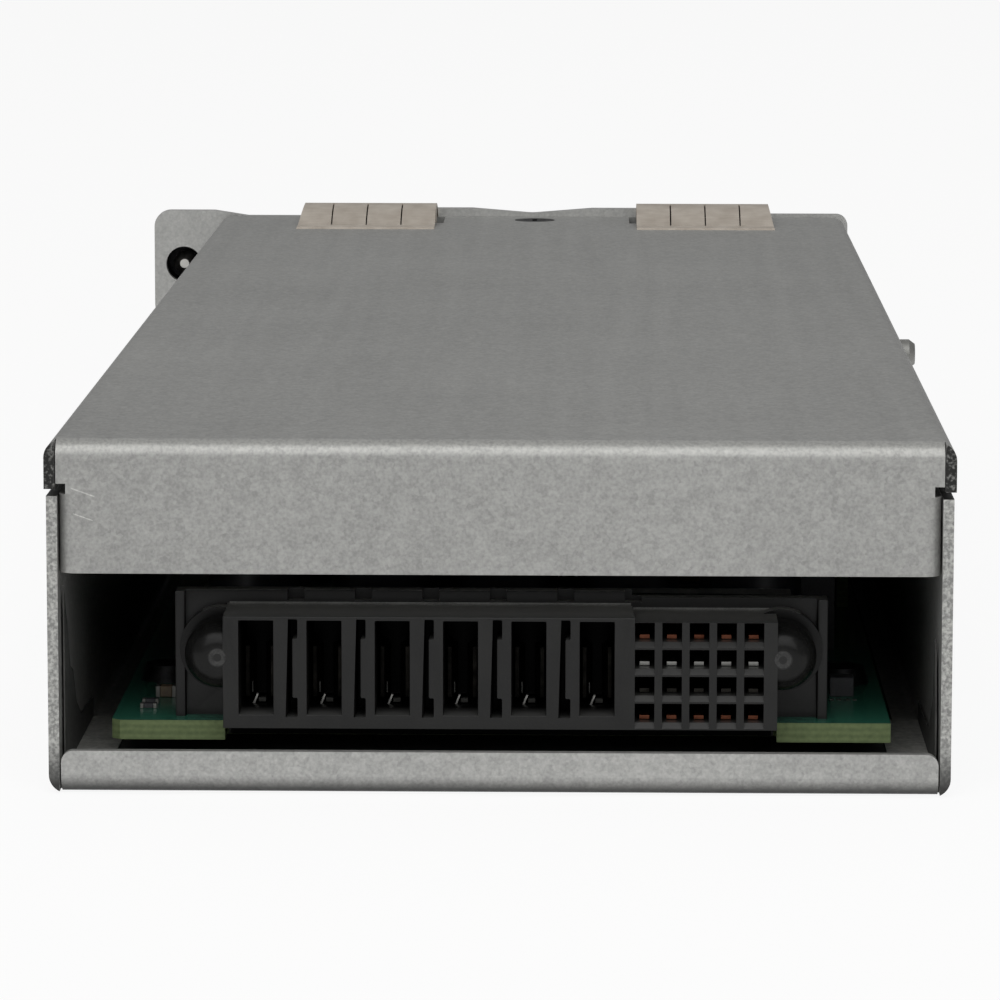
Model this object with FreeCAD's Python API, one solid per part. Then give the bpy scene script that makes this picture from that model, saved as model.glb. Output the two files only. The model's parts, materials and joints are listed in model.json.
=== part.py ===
import FreeCAD, Part
import math
import os

from FreeCAD import Vector

# Hot swap server power supply, in millimetres.
# X runs across the case, Y from the docking end (-) to the front panel (+), Z up.
# The origin is the middle of the underside.

# Case.
case_length = 230.0
case_width = 83.6
case_height = 33.1
sheet = 1.0
bend_inside = 0.7
seam_gap = 0.15
touch_gap = 0.1
pin_clearance = 0.05
screw_clearance = 0.1
tray_wall_top = 27.85
tray_lip_top = 4.0
tray_lip_corner = 1.1
front_flange_width = 4.3
front_flange_rivet = 2.7
front_flange_bottom = 3.0
front_flange_top = 26.5
skirt_bottom = 28.5
skirt_proud = 0.2
fascia_bottom = 20.65
fascia_ear_top = 28.0
fascia_notch_top = 29.0
fascia_notch_width = 0.8
fascia_ear_length = 17.5
fascia_ear_bend = 0.55

# Rivets and screws of the case.
stud_from_rear = 95.0
keeper_from_front = 58.0
keeper_length = 10.0
keeper_bottom = 20.0
keeper_rivet_height = 30.3
rivet_radius = 0.9
rivet_head_radius = 1.3
rivet_head_height = 0.6
rivet_head_crown = 0.7
stud_head_radius = 1.6
stud_head_height = 1.6
cover_screw_from_front = 5.2
cover_screw_x = 0.4
cover_corner_relief = 1.1
cover_screw_radius = 1.25
cover_screw_head_radius = 2.65
cover_screw_head_depth = 1.1
cover_screw_length = 4.0
cross_slot_length = 3.0
cross_slot_width = 0.6
cross_slot_depth = 0.6
bracket_half_width = 5.5
bracket_reach = 12.0
bracket_bottom = 18.0
bracket_rivet_height = 21.0
panel_rivet_heights = (7.0, 16.0)

# Front panel.
panel_thickness = 1.2
panel_bottom = 0.4
panel_overhang = 0.4
panel_left_top = 33.1
panel_middle_top = 34.2
panel_right_top = 33.5
panel_dip = 0.65
panel_dip_half_width = 8.0
panel_corner = 1.5
ear_left = -50.95
ear_bottom = 18.9
ear_top = 33.8
ear_corner = 2.2
ear_slope_start = -42.8
ear_slope_end = -38.3

# Shielding strips.
strip_centre = 22.35
strip_shift = 0.65
strip_length = 18.1
strip_fingers = 4
strip_finger_gap = 0.18
strip_thickness = 0.25
strip_start = 19.0
strip_end = 0.3
strip_crown = 2.4
strip_foot = 3.5
strip_end_slope = 0.6
strip_slot_width = 1.5
strip_slot_length = 9.0
strip_slot_from_front = 10.0
strip_hook_inset = 0.15
strip_hook_length = 3.0
strip_hook_depth = 1.3

# Fan.
fan_x = -22.0
fan_size = 30.0
fan_depth = 15.0
fan_floor_gap = 0.2
fan_corner = 2.0
fan_duct_wall = 1.2
fan_hole_inset = 3.0
fan_hole_radius = 1.45
fan_screw_radius = 1.35
fan_screw_head_radius = 2.3
fan_screw_length = 9.0
fan_hub_radius = 7.6
fan_hub_thickness = 1.4
fan_strut_width = 1.8
fan_tube_outside = 2.4
fan_tube_length = 9.0
bearing_outside = 1.75
bearing_length = 8.0
shaft_radius = 0.8
shaft_clearance = 0.05
rotor_radius = 7.4
rotor_wall = 0.8
rotor_gap = 0.8
blade_count = 7
blade_tip_gap = 0.6
blade_thickness = 0.7
blade_root_pitch = 52.0
blade_tip_pitch = 32.0
blade_chord = 8.4
blade_sink = 0.5
stator_radius = 5.7
stator_length = 5.5
stator_poles = 4
stator_slot = 1.2
grille_thickness = 0.8
grille_pitch = 4.3
grille_hole = 3.5
fan_opening_step = 0.4

# Bail handle.
bail_wire = 1.3
bail_inset = 0.4
bail_pivot_height = 27.0
bail_pivot_reach = 3.2
bail_drop = 20.5
bail_corner = 4.0
bail_pin_bend = 1.6
bail_pin_length = 3.2
bail_clearance = 0.3
lug_thickness = 1.2
lug_foot_below = 2.8
lug_foot_above = 3.2
lug_foot_width = 4.0
lug_nose = 2.6
lug_step = 1.0
lug_corner = 0.6
lug_hole_clearance = 0.06
lug_rivet_drop = 6.0

# Captive thumbscrew.
thumb_x = -47.0
thumb_z = 26.5
ferrule_bore = 2.4
ferrule_sleeve = 3.1
ferrule_flange = 3.9
ferrule_flange_thickness = 0.8
ferrule_sleeve_length = 4.0
ferrule_end_wall = 0.8
screw_radius = 1.5
screw_neck_radius = 1.2
screw_tip_recess = 1.0
screw_tip_radius = 0.6
screw_tip_length = 1.4
screw_travel = 3.5
screw_shoulder_gap = 0.3
knob_radius = 4.1
knob_length = 8.7
knob_bore = 3.5
knob_bore_depth = 6.2
knob_grooves = 18
knob_plain_rim = 1.4
knob_groove_depth = 0.35
knob_slot_width = 1.0
knob_slot_depth = 1.2
washer_radius = 3.2
washer_thickness = 0.6
spring_radius = 2.2
spring_wire = 0.2
spring_turns = 4
spring_steps = 10

# AC inlet.
inlet_x = 22.0
inlet_z = 16.4
inlet_flange_width = 30.6
inlet_flange_height = 23.6
inlet_flange_thickness = 2.2
inlet_flange_corner = 2.5
inlet_body_width = 27.2
inlet_body_height = 19.8
inlet_body_depth = 20.0
inlet_body_chamfer = 1.0
inlet_socket_corner = 0.8
inlet_pin_root = 1.5
inlet_pin_corner = 0.5
inlet_cutout_gap = 0.2
inlet_socket_width = 24.4
inlet_socket_height = 16.8
inlet_socket_depth = 17.0
inlet_socket_chamfer = 4.6
inlet_pin_spacing = 14.0
inlet_pin_offset = 2.0
inlet_pin_width = 2.0
inlet_pin_height = 4.0
inlet_pin_length = 15.0
inlet_tab_width = 0.8
inlet_tab_length = 8.0

# Main board.
board_width = 73.15
board_thickness = 1.85
board_underside = 3.8
board_rear_recess = 6.9
board_from_front = 29.0
board_chamfer = 0.8
board_notch_gap = 0.1
standoff_radius = 2.5
standoff_x = 33.0
standoff_from_rear = (29.0, 118.5)
standoff_from_front = 33.0
board_screw_radius = 1.3
board_screw_head_radius = 2.6
board_screw_head_height = 1.6
board_hole_radius = 1.6
insulator_thickness = 0.3
insulator_floor_gap = 0.1
insulator_inset = 1.5

# Docking connector.
dock_recess = 3.0
dock_nose_length = 7.0
dock_nose_half_width = 25.8
dock_power_top = 16.2
dock_signal_top = 15.8
dock_flange_half_width = 30.7
dock_flange_top = 17.6
dock_signal_step = 0.6
dock_flange_thickness = 1.8
dock_flange_rim = 1.0
dock_flange_rim_width = 0.95
dock_body_half_width = 27.4
dock_body_top = 16.9
dock_body_sink = 0.5
dock_keel_depth = 1.45
dock_keel_length = 2.0
dock_keel_gap = 0.2
flange_notch_width = 1.6
flange_notch_depth = 1.0
flange_notch_web = 0.6
dock_body_length = 4.5
power_count = 6
power_pitch = 6.35
power_first = -22.71
power_slot_width = 3.2
power_slot_bottom = 6.93
power_slot_top = 15.79
power_slot_depth = 11.4
vent_offset = 3.375
vent_width = 1.0
vent_bottom = 6.7
vent_top = 15.95
vent_depth = 4.5
vent_rib_share = 0.6
signal_columns = 5
signal_rows = 4
signal_pitch = 2.54
signal_first_x = 13.46
signal_first_z = 7.14
signal_block_left = 12.3
signal_cell_width = 1.84
signal_cell_height = 1.72
signal_cell_depth = 7.0
post_x = 26.3
post_z = 12.3
post_root_radius = 3.9
post_root_length = 1.8
post_radius = 3.2
post_tip_radius = 0.9
leaf_thickness = 0.35
leaf_height = 4.8
leaf_recess = 6.4
leaf_inset = 0.25
leaf_lift = 0.6
leaf_bow = 0.55
leaf_crest = 2.2
leaf_root = 4.4
tail_width = 0.8
tail_gap = 0.3
tail_length = 3.6
signal_tongue_width = 0.9
signal_tongue_height = 0.35
signal_tongue_drop = 0.25
signal_tongue_recess = 3.2
mouth_depth = 0.45
mouth_side = 0.25
mouth_below = 0.5
mouth_above = 0.15

# Parts on the main board.
part_roof = 30.6
sink_base = 2.4
sink_fin = 1.2
sink_fin_count = 5
sink_fin_reach = 18.0
sink_length = 46.0
secondary_sink_from_rear = 40.0
primary_sink_from_front = 58.0
sink_x = -10.0
package_width = 10.0
package_thickness = 4.4
package_height = 15.0
package_pitch = 12.5
package_gap = 0.1
lead_pitch = 2.54
lead_size = 0.7
core_x = 17.0
core_from_rear = 58.0
core_width = 32.0
core_depth = 21.0
core_height = 24.0
core_plate = 5.0
core_leg = 4.0
core_post_radius = 5.5
winding_gap = 0.4
bobbin_flange = 1.2
bulk_radius = 12.5
bulk_height = 25.0
bulk_x = 14.6
bulk_from_rear = 102.5
can_bead = 0.6
output_can_radius = 5.0
output_can_height = 20.0
output_can_count = 5
output_can_pitch = 12.0
output_can_from_rear = 30.5
choke_x = 18.0
choke_from_front = 94.0
choke_outside = 12.5
choke_inside = 5.5
choke_height = 9.0
choke_wire = 1.6
choke_arc = 300.0
choke_lift = 0.3
filter_x = -24.0
filter_from_front = 43.0
filter_outside = 8.5
filter_inside = 4.0
filter_height = 7.0
filter_wire = 1.3
filter_arc = 140.0
film_x = -7.0
film_from_front = 41.0
film_length = 15.0
film_width = 7.0
film_height = 14.0
film_pitch = 8.4
film_corner = 1.0
fuse_x = 30.0
fuse_from_front = 47.0
fuse_radius = 2.6
fuse_length = 20.0
fuse_cap = 5.0
fuse_lift = 3.4
fuse_clip = 0.5
relay_size = (10.0, 14.0, 12.0)
relay_x = 20.0
relay_from_front = 68.0
control_x = 34.4
control_from_rear = 74.0
control_length = 40.0
control_thickness = 1.2
control_top = 27.0
chip_thickness = 1.2
chips_on_board = ((7.0, 14.0, 7.0), (18.0, 12.0, 9.0), (30.0, 18.0, 5.0))
busbar_thickness = 0.8
busbar_width = 8.0
busbar_rise = 3.2
busbar_gap = 1.8
busbar_span = 2.8
wire_radius = 0.9
wire_bend = 1.8
wire_landing = 2.0
lead_wire_radius = 0.6
light_x = (-1.6, 2.4)
light_z = 12.0
light_radius = 1.2
light_lens = 1.5
light_length = 14.0

# Values worked out from the sizes above.
rear = -case_length / 2
front = case_length / 2
half_width = case_width / 2
wall_inside = half_width - sheet
bend_outside = bend_inside + sheet
cover_under = case_height - sheet
skirt_outside = half_width + skirt_proud
skirt_inside = skirt_outside - sheet
rivet_hole_radius = rivet_radius + pin_clearance
keeper_inside = wall_inside - sheet
stud_y = rear + stud_from_rear
keeper_places = (stud_y, front - keeper_from_front)
cover_screw_y = front - cover_screw_from_front
ear_outside = wall_inside - touch_gap
panel_back = front
panel_front = front + panel_thickness
panel_side = skirt_outside + panel_overhang
board_top = board_underside + board_thickness
board_half = board_width / 2
board_rear = rear + board_rear_recess
board_front = front - board_from_front
dock_bottom = board_top
dock_face = rear + dock_recess
dock_flange_face = dock_face + dock_nose_length
dock_back = dock_flange_face + dock_flange_thickness + dock_body_length
secondary_sink_y = (rear + secondary_sink_from_rear, rear + secondary_sink_from_rear + sink_length)
primary_sink_y = (front - primary_sink_from_front - sink_length, front - primary_sink_from_front)
control_y = (rear + control_from_rear, rear + control_from_rear + control_length)
core_y = rear + core_from_rear
bulk_y = rear + bulk_from_rear
output_can_y = rear + output_can_from_rear
choke_y = front - choke_from_front
filter_y = front - filter_from_front
film_y = front - film_from_front
fuse_y = front - fuse_from_front
fan_z = sheet + fan_floor_gap + fan_size / 2
fan_bore = fan_size / 2 - fan_duct_wall
fan_hole_pitch = fan_size - 2 * fan_hole_inset
fan_opening = fan_bore - fan_opening_step
blade_tip_radius = fan_bore - blade_tip_gap
lug_rivet_height = fan_z + fan_hole_pitch / 2 - lug_rivet_drop
lug_foot_bottom = lug_rivet_height - lug_foot_below
lug_foot_top = lug_rivet_height + lug_foot_above
bail_left = fan_x - (fan_size / 2 - bail_inset)
bail_right = fan_x + (fan_size / 2 - bail_inset)
fan_front = panel_back - grille_thickness
fan_rear = fan_front - fan_depth
bail_pivot_y = panel_front + bail_pivot_reach
knob_start = panel_front + ferrule_flange_thickness + screw_travel + screw_shoulder_gap
washer_front = knob_start + knob_bore_depth - touch_gap
ferrule_end = panel_front + ferrule_flange_thickness + ferrule_sleeve_length

AXES = {"x": Vector(1, 0, 0), "y": Vector(0, 1, 0), "z": Vector(0, 0, 1)}
PLANES = {
    "xy": lambda u, v: Vector(u, v, 0),
    "xz": lambda u, v: Vector(u, 0, v),
    "yz": lambda u, v: Vector(0, u, v),
}
NORMALS = {"xy": AXES["z"], "xz": AXES["y"], "yz": AXES["x"]}


# Shape helpers.
def block(x, y, z):
    """A box between two values on each axis."""
    size = (x[1] - x[0], y[1] - y[0], z[1] - z[0])
    return Part.makeBox(size[0], size[1], size[2], Vector(x[0], y[0], z[0]))


def rod(start, axis, radius, length):
    """A cylinder from a point along an axis."""
    return Part.makeCylinder(radius, length, Vector(*start), AXES[axis])


def tube(start, axis, outside, inside, length):
    """A round sleeve."""
    return rod(start, axis, outside, length).cut(rod(start, axis, inside, length))


def fused(shapes):
    """One solid from solids that touch or overlap."""
    whole = shapes[0].multiFuse(shapes[1:]) if len(shapes) > 1 else shapes[0]
    return whole.removeSplitter()


def group(shapes):
    """Separate solids that share a node."""
    return Part.makeCompound(shapes)


def corner_arc(before, corner, after, radius):
    """Start, middle and end of the arc that rounds a corner."""
    back = (before - corner).normalize()
    ahead = (after - corner).normalize()
    half_angle = back.getAngle(ahead) / 2
    reach = radius / math.tan(half_angle)
    inward = (back + ahead).normalize()
    middle = corner + inward * (radius / math.sin(half_angle) - radius)
    return corner + back * reach, middle, corner + ahead * reach


def rounded_edges(points, radii, closed):
    """Lines and arcs through the points, each corner rounded by its radius."""
    count = len(points)
    entries = []
    for index, point in enumerate(points):
        is_end = not closed and index in (0, count - 1)
        if is_end or radii[index] <= 0:
            entries.append((point, None, point))
        else:
            following = points[(index + 1) % count]
            entries.append(corner_arc(points[index - 1], point, following, radii[index]))
    edges = []
    for index, (start, middle, end) in enumerate(entries):
        if middle is not None:
            edges.append(Part.Arc(start, middle, end).toShape())
        if index < count - 1 or closed:
            following = entries[(index + 1) % count][0]
            if end.distanceToPoint(following) > 1e-6:
                edges.append(Part.makeLine(end, following))
    return edges


def outline(plane, corners):
    """A flat face from (u, v, radius) corners."""
    points = [PLANES[plane](u, v) for u, v, radius in corners]
    radii = [radius for u, v, radius in corners]
    return Part.Face(Part.Wire(Part.__sortEdges__(rounded_edges(points, radii, True))))


def rectangle(plane, u, v, radius):
    """A rectangular face with rounded corners."""
    corners = [(u[0], v[0], radius), (u[1], v[0], radius), (u[1], v[1], radius), (u[0], v[1], radius)]
    return outline(plane, corners)


def extrude(face, plane, start, end):
    """A face of a plane through the origin pushed from start to end along its normal."""
    moved = face.translated(NORMALS[plane] * start)
    return moved.extrude(NORMALS[plane] * (end - start))


def left_of(path, distance):
    """A path moved to its left by a distance."""
    normals = []
    for (u0, v0), (u1, v1) in zip(path, path[1:]):
        run = math.hypot(u1 - u0, v1 - v0)
        normals.append((-(v1 - v0) / run, (u1 - u0) / run))
    moved = []
    for index, (u, v) in enumerate(path):
        before = normals[max(index - 1, 0)]
        after = normals[min(index, len(normals) - 1)]
        scale = distance / (1 + before[0] * after[0] + before[1] * after[1])
        moved.append((u + (before[0] + after[0]) * scale, v + (before[1] + after[1]) * scale))
    return moved


def sheet_section(plane, path, thickness, inside_radius):
    """The cut face of a bent sheet: the path is one skin and the other lies to its left."""
    other = left_of(path, thickness)
    path_radii = [0.0] * len(path)
    other_radii = [0.0] * len(path)
    for index in range(1, len(path) - 1):
        (u0, v0), (u1, v1), (u2, v2) = path[index - 1], path[index], path[index + 1]
        turns_left = (u1 - u0) * (v2 - v1) - (v1 - v0) * (u2 - u1) > 0
        path_radii[index] = inside_radius + thickness if turns_left else inside_radius
        other_radii[index] = inside_radius if turns_left else inside_radius + thickness
    near = [PLANES[plane](u, v) for u, v in path]
    far = [PLANES[plane](u, v) for u, v in other]
    edges = rounded_edges(near, path_radii, False) + rounded_edges(far, other_radii, False)
    edges.append(Part.makeLine(near[0], far[0]))
    edges.append(Part.makeLine(near[-1], far[-1]))
    return Part.Face(Part.Wire(Part.__sortEdges__(edges)))


def bent_sheet(plane, path, thickness, inside_radius, start, end):
    """A bent sheet: its section extruded from start to end."""
    return extrude(sheet_section(plane, path, thickness, inside_radius), plane, start, end)


def turned(axis, centre, profile):
    """A solid of revolution: (along, radius) pairs turned about an axis through a centre."""
    side = AXES["x"] if axis != "x" else AXES["z"]
    points = [Vector(*centre) + AXES[axis] * along + side * radius for along, radius in profile]
    face = Part.Face(Part.makePolygon(points + points[:1]))
    return face.revolve(Vector(*centre), AXES[axis], 360)


def bent_rod(points, bend_radius, radius):
    """A round wire through points: straight rods joined by bends turned about their own axes."""
    pieces = []
    start = points[0]
    for before, corner, after in zip(points, points[1:], points[2:]):
        bend_start, middle, bend_end = corner_arc(before, corner, after, bend_radius)
        along = (corner - before).normalize()
        outward = (after - corner).normalize()
        axis = along.cross(outward)
        centre = bend_start + outward * bend_radius
        section = Part.Face(Part.Wire(Part.makeCircle(radius, bend_start, along)))
        pieces.append(Part.makeCylinder(radius, (bend_start - start).Length, start, along))
        pieces.append(section.revolve(centre, axis, math.degrees(along.getAngle(outward))))
        start = bend_end
    end = points[-1]
    pieces.append(Part.makeCylinder(radius, (end - start).Length, start, (end - start).normalize()))
    return pieces[0].multiFuse(pieces[1:])


def both_sides(shape):
    """A shape and its mirror image across the middle of the case."""
    return [shape, shape.mirror(Vector(0, 0, 0), AXES["x"])]


# Case.
def chassis_tray():
    """Floor and side walls folded from one sheet, with a rear lip and front flanges."""
    path = [(-half_width, tray_wall_top), (-half_width, 0), (half_width, 0), (half_width, tray_wall_top)]
    tray = bent_sheet("xz", path, sheet, bend_inside, rear, front)
    rear_space = block((-wall_inside, wall_inside), (rear - 1, rear + bend_outside), (-1, case_height))
    front_space = block((-half_width - 1, half_width + 1), (front - bend_outside, front + 1),
                        (bend_outside, case_height))
    tray = tray.cut(rear_space).cut(front_space)
    lip_path = [(rear, tray_lip_top), (rear, 0), (rear + 2 * bend_outside, 0)]
    lip_half = wall_inside - seam_gap
    lip = bent_sheet("yz", lip_path, sheet, bend_inside, -lip_half, lip_half)
    lip_corners = [(-lip_half, -1, 0), (lip_half, -1, 0), (lip_half, tray_lip_top, tray_lip_corner),
                   (-lip_half, tray_lip_top, tray_lip_corner)]
    lip = lip.common(extrude(outline("xz", lip_corners), "xz", rear - 1, front))
    flange_path = [(half_width, front - 2 * bend_outside), (half_width, front),
                   (half_width - front_flange_width, front)]
    flange = bent_sheet("xy", flange_path, sheet, bend_inside, front_flange_bottom, front_flange_top)
    tray = fused([tray, lip] + both_sides(flange))
    for height in panel_rivet_heights:
        hole = rod((half_width - front_flange_rivet, front - 2 * sheet, height), "y",
                   rivet_hole_radius, 3 * sheet)
        tray = tray.cut(group(both_sides(hole)))
    return tray


def at_strip(shape, side):
    """A shape drawn about a strip's middle, inner end at -X, moved to one side of the cover."""
    turned_shape = shape if side > 0 else shape.mirror(Vector(0, 0, 0), AXES["x"])
    return turned_shape.translated(Vector(side * strip_centre + strip_shift, 0, 0))


def strip_slot(side):
    """The slot that a shielding strip's inner hook goes down through."""
    outer_edge = strip_length / 2 - strip_thickness - 2 * strip_hook_inset
    y = (front - strip_slot_from_front, front - strip_slot_from_front + strip_slot_length)
    slot = block((-outer_edge - strip_slot_width, -outer_edge), y, (cover_under - 1, case_height + 1))
    return at_strip(slot, side)


def top_cover():
    """Top, short side skirts, rear fascia and the ears that run back inside the tray's walls."""
    path = [(skirt_outside, skirt_bottom), (skirt_outside, case_height), (-skirt_outside, case_height),
            (-skirt_outside, skirt_bottom)]
    cover = bent_sheet("xz", path, sheet, bend_inside, rear, front)
    rear_space = block((-skirt_inside, skirt_inside), (rear - 1, rear + bend_outside),
                       (0, case_height + 1))
    cover = cover.cut(rear_space)
    band_path = [(rear + 2 * bend_outside, case_height), (rear, case_height), (rear, fascia_notch_top)]
    band_half = skirt_inside - touch_gap
    band = bent_sheet("yz", band_path, sheet, bend_inside, -band_half, band_half)
    neck_half = wall_inside - fascia_notch_width
    neck = block((-neck_half, neck_half), (rear, rear + sheet), (fascia_ear_top, fascia_notch_top))
    ear_end = rear + fascia_ear_length
    ear_path = [(-ear_outside, ear_end), (-ear_outside, rear),
                (ear_outside, rear), (ear_outside, ear_end)]
    ears = bent_sheet("xy", ear_path, sheet, fascia_ear_bend, fascia_bottom, fascia_ear_top)
    cover = fused([cover, band, neck, ears])
    for place in keeper_places:
        hole = rod((skirt_inside - 1, place, keeper_rivet_height), "x", rivet_hole_radius, sheet + 2)
        cover = cover.cut(group(both_sides(hole)))
    sink = turned("z", (cover_screw_x, cover_screw_y, 0), [
        (cover_under - 1, 0), (cover_under - 1, cover_screw_radius + touch_gap),
        (case_height - cover_screw_head_depth, cover_screw_radius + touch_gap),
        (case_height, cover_screw_head_radius + touch_gap),
        (case_height + 1, cover_screw_head_radius + touch_gap), (case_height + 1, 0)])
    relief = block((-skirt_outside - 1, -half_width + 2 * cover_corner_relief),
                   (front - cover_corner_relief, front + 1), (case_height - bend_outside, case_height + 1))
    return cover.cut(group([sink, relief, strip_slot(1), strip_slot(-1)]))


def cover_keepers():
    """Plates welded inside the tray's walls; the cover's skirts are riveted to them."""
    plates = []
    for place in keeper_places:
        y = (place - keeper_length / 2, place + keeper_length / 2)
        plate = block((keeper_inside, wall_inside), y, (keeper_bottom, cover_under - 2 * touch_gap))
        plate = plate.cut(rod((keeper_inside - 1, place, keeper_rivet_height), "x",
                              rivet_hole_radius, sheet + 2))
        plates += both_sides(plate)
    return group(plates)


def side_rivet(place, head):
    """A rivet through the skirt and its keeper on the right side."""
    back = keeper_inside - rivet_head_height
    profile = [(back, 0), (back, rivet_head_radius), (keeper_inside, rivet_head_radius),
               (keeper_inside, rivet_radius), (skirt_outside, rivet_radius)]
    return turned("x", (0, place, keeper_rivet_height), profile + head)


def cover_rivets():
    """Flush rivets that hold the skirts."""
    flush = [(skirt_outside, 0)]
    left = [side_rivet(place, flush).mirror(Vector(0, 0, 0), AXES["x"]) for place in keeper_places]
    return group([side_rivet(keeper_places[1], flush)] + left)


def keying_stud():
    """The one proud rivet head, on the right side, that keys the unit in its bay."""
    end = skirt_outside + stud_head_height
    head = [(skirt_outside, stud_head_radius), (end - stud_head_height * 0.4, stud_head_radius),
            (end, stud_head_radius * rivet_head_crown), (end, 0)]
    return side_rivet(keeper_places[0], head)


def cover_screw_bracket():
    """Angle behind the front panel that the cover's screw goes into."""
    top = cover_under - touch_gap
    path = [(panel_back, bracket_bottom), (panel_back, top), (panel_back - bracket_reach, top)]
    bracket = bent_sheet("yz", path, sheet, bend_inside, -bracket_half_width, bracket_half_width)
    screw = rod((cover_screw_x, cover_screw_y, top - 3 * sheet), "z",
                cover_screw_radius + touch_gap / 2, 4 * sheet)
    rivet = rod((0, panel_back - 2 * sheet, bracket_rivet_height), "y", rivet_hole_radius, 3 * sheet)
    return bracket.cut(group([screw, rivet]))


def cover_front_screw():
    """Countersunk screw in the cover, near the front edge."""
    top = case_height
    profile = [(top - cover_screw_length, 0), (top - cover_screw_length, cover_screw_radius),
               (top - cover_screw_head_depth, cover_screw_radius),
               (top, cover_screw_head_radius), (top, 0)]
    screw = turned("z", (cover_screw_x, cover_screw_y, 0), profile)
    reach = cross_slot_length / 2
    half = cross_slot_width / 2
    for angle in (0, 90):
        slot = block((-reach, reach), (-half, half), (top - cross_slot_depth, top + 1))
        slot.rotate(Vector(0, 0, 0), AXES["z"], angle)
        screw = screw.cut(slot.translated(Vector(cover_screw_x, cover_screw_y, 0)))
    return screw


# Front panel.
def panel_outline():
    """The plate and its screw ear; the top rises between the strips and dips at the cover screw."""
    inner = strip_centre - strip_length / 4
    outer = strip_centre + strip_length / 4
    shift = strip_shift
    dip_top = panel_middle_top - panel_dip
    return outline("xz", [
        (-panel_side, panel_bottom, panel_corner), (panel_side, panel_bottom, panel_corner),
        (panel_side, panel_right_top, panel_corner), (shift + outer, panel_right_top, 0),
        (shift + inner, panel_middle_top, 0),
        (panel_dip_half_width, panel_middle_top, panel_corner),
        (0, dip_top, panel_dip_half_width), (-panel_dip_half_width, panel_middle_top, panel_corner),
        (shift - inner, panel_middle_top, 0), (shift - outer, panel_left_top, 0),
        (ear_slope_end, panel_left_top, panel_corner), (ear_slope_start, ear_top, panel_corner),
        (ear_left, ear_top, ear_corner), (ear_left, ear_bottom, ear_corner),
        (-panel_side, ear_bottom, panel_corner / 2)])


def inlet_section(width, height, chamfer, radius):
    """The inlet's shape: a rectangle with its two upper corners cut."""
    u = width / 2
    v = height / 2
    return outline("xz", [
        (inlet_x - u, inlet_z - v, radius), (inlet_x + u, inlet_z - v, radius),
        (inlet_x + u, inlet_z + v - chamfer, radius), (inlet_x + u - chamfer, inlet_z + v, radius),
        (inlet_x - u + chamfer, inlet_z + v, radius), (inlet_x - u, inlet_z + v - chamfer, radius)])


def fan_hole_centres():
    """The four screw positions of the fan."""
    reach = fan_hole_pitch / 2
    return [(fan_x + sx * reach, fan_z + sz * reach) for sx in (-1, 1) for sz in (-1, 1)]


def lug_rivet_centres():
    """The two rivets that hold the handle lugs."""
    reach = bail_wire + bail_clearance
    return [(bail_left - reach + lug_foot_width / 2, lug_rivet_height),
            (bail_right + reach + (lug_thickness + lug_foot_width) / 2, lug_rivet_height)]


def panel_rivet_centres():
    """Rivets through the panel: into the tray's flanges, the bracket and the lugs."""
    flange = half_width - front_flange_rivet
    centres = [(side * flange, height) for side in (-1, 1) for height in panel_rivet_heights]
    return centres + [(0, bracket_rivet_height)]


def front_panel():
    """Steel plate with openings for the fan, the inlet, the thumbscrew and the status lights."""
    plate = extrude(panel_outline(), "xz", panel_back, panel_front)
    start = panel_back - 1
    length = panel_thickness + 2
    inlet = inlet_section(inlet_body_width + 2 * inlet_cutout_gap,
                          inlet_body_height + 2 * inlet_cutout_gap, inlet_body_chamfer, 0)
    cuts = [extrude(inlet, "xz", start, start + length)]
    cuts.append(rod((fan_x, start, fan_z), "y", fan_opening, length))
    cuts.append(rod((thumb_x, start, thumb_z), "y", ferrule_bore, length))
    for x, z in panel_rivet_centres() + lug_rivet_centres():
        cuts.append(rod((x, start, z), "y", rivet_hole_radius, length))
    hole = fan_screw_radius + screw_clearance
    sink = fan_screw_head_radius + screw_clearance
    for x, z in fan_hole_centres():
        cuts.append(turned("y", (x, 0, z), [
            (start, 0), (start, hole), (panel_back + screw_clearance, hole), (panel_front, sink),
            (panel_front + 1, sink), (panel_front + 1, 0)]))
    for x in light_x:
        cuts.append(rod((x, start, light_z), "y", light_radius + pin_clearance, length))
    return plate.cut(group(cuts))


def panel_rivet(x, z, back, seat):
    """A rivet from its flush back end to the low head on its seat."""
    head_top = seat + rivet_head_height * 0.6
    return turned("y", (x, 0, z), [
        (back, 0), (back, rivet_radius), (seat, rivet_radius), (seat, rivet_head_radius),
        (head_top, rivet_head_radius * rivet_head_crown), (head_top, 0)])


def front_panel_rivets():
    """Rivets of the panel's flanges, the cover bracket and the handle lugs."""
    rivets = [panel_rivet(x, z, panel_back - sheet, panel_front) for x, z in panel_rivet_centres()]
    rivets += [panel_rivet(x, z, panel_back, panel_front + lug_thickness) for x, z in lug_rivet_centres()]
    return group(rivets)


def status_light_pipes():
    """Two clear light pipes with lens heads in the front panel."""
    pipes = []
    for x in light_x:
        pipes.append(turned("y", (x, 0, light_z), [
            (panel_front - light_length, 0), (panel_front - light_length, light_radius),
            (panel_front, light_radius), (panel_front, light_lens), (panel_front + 0.4, light_lens),
            (panel_front + 0.9, light_lens * 0.5), (panel_front + 0.9, 0)]))
    return group(pipes)


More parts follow.
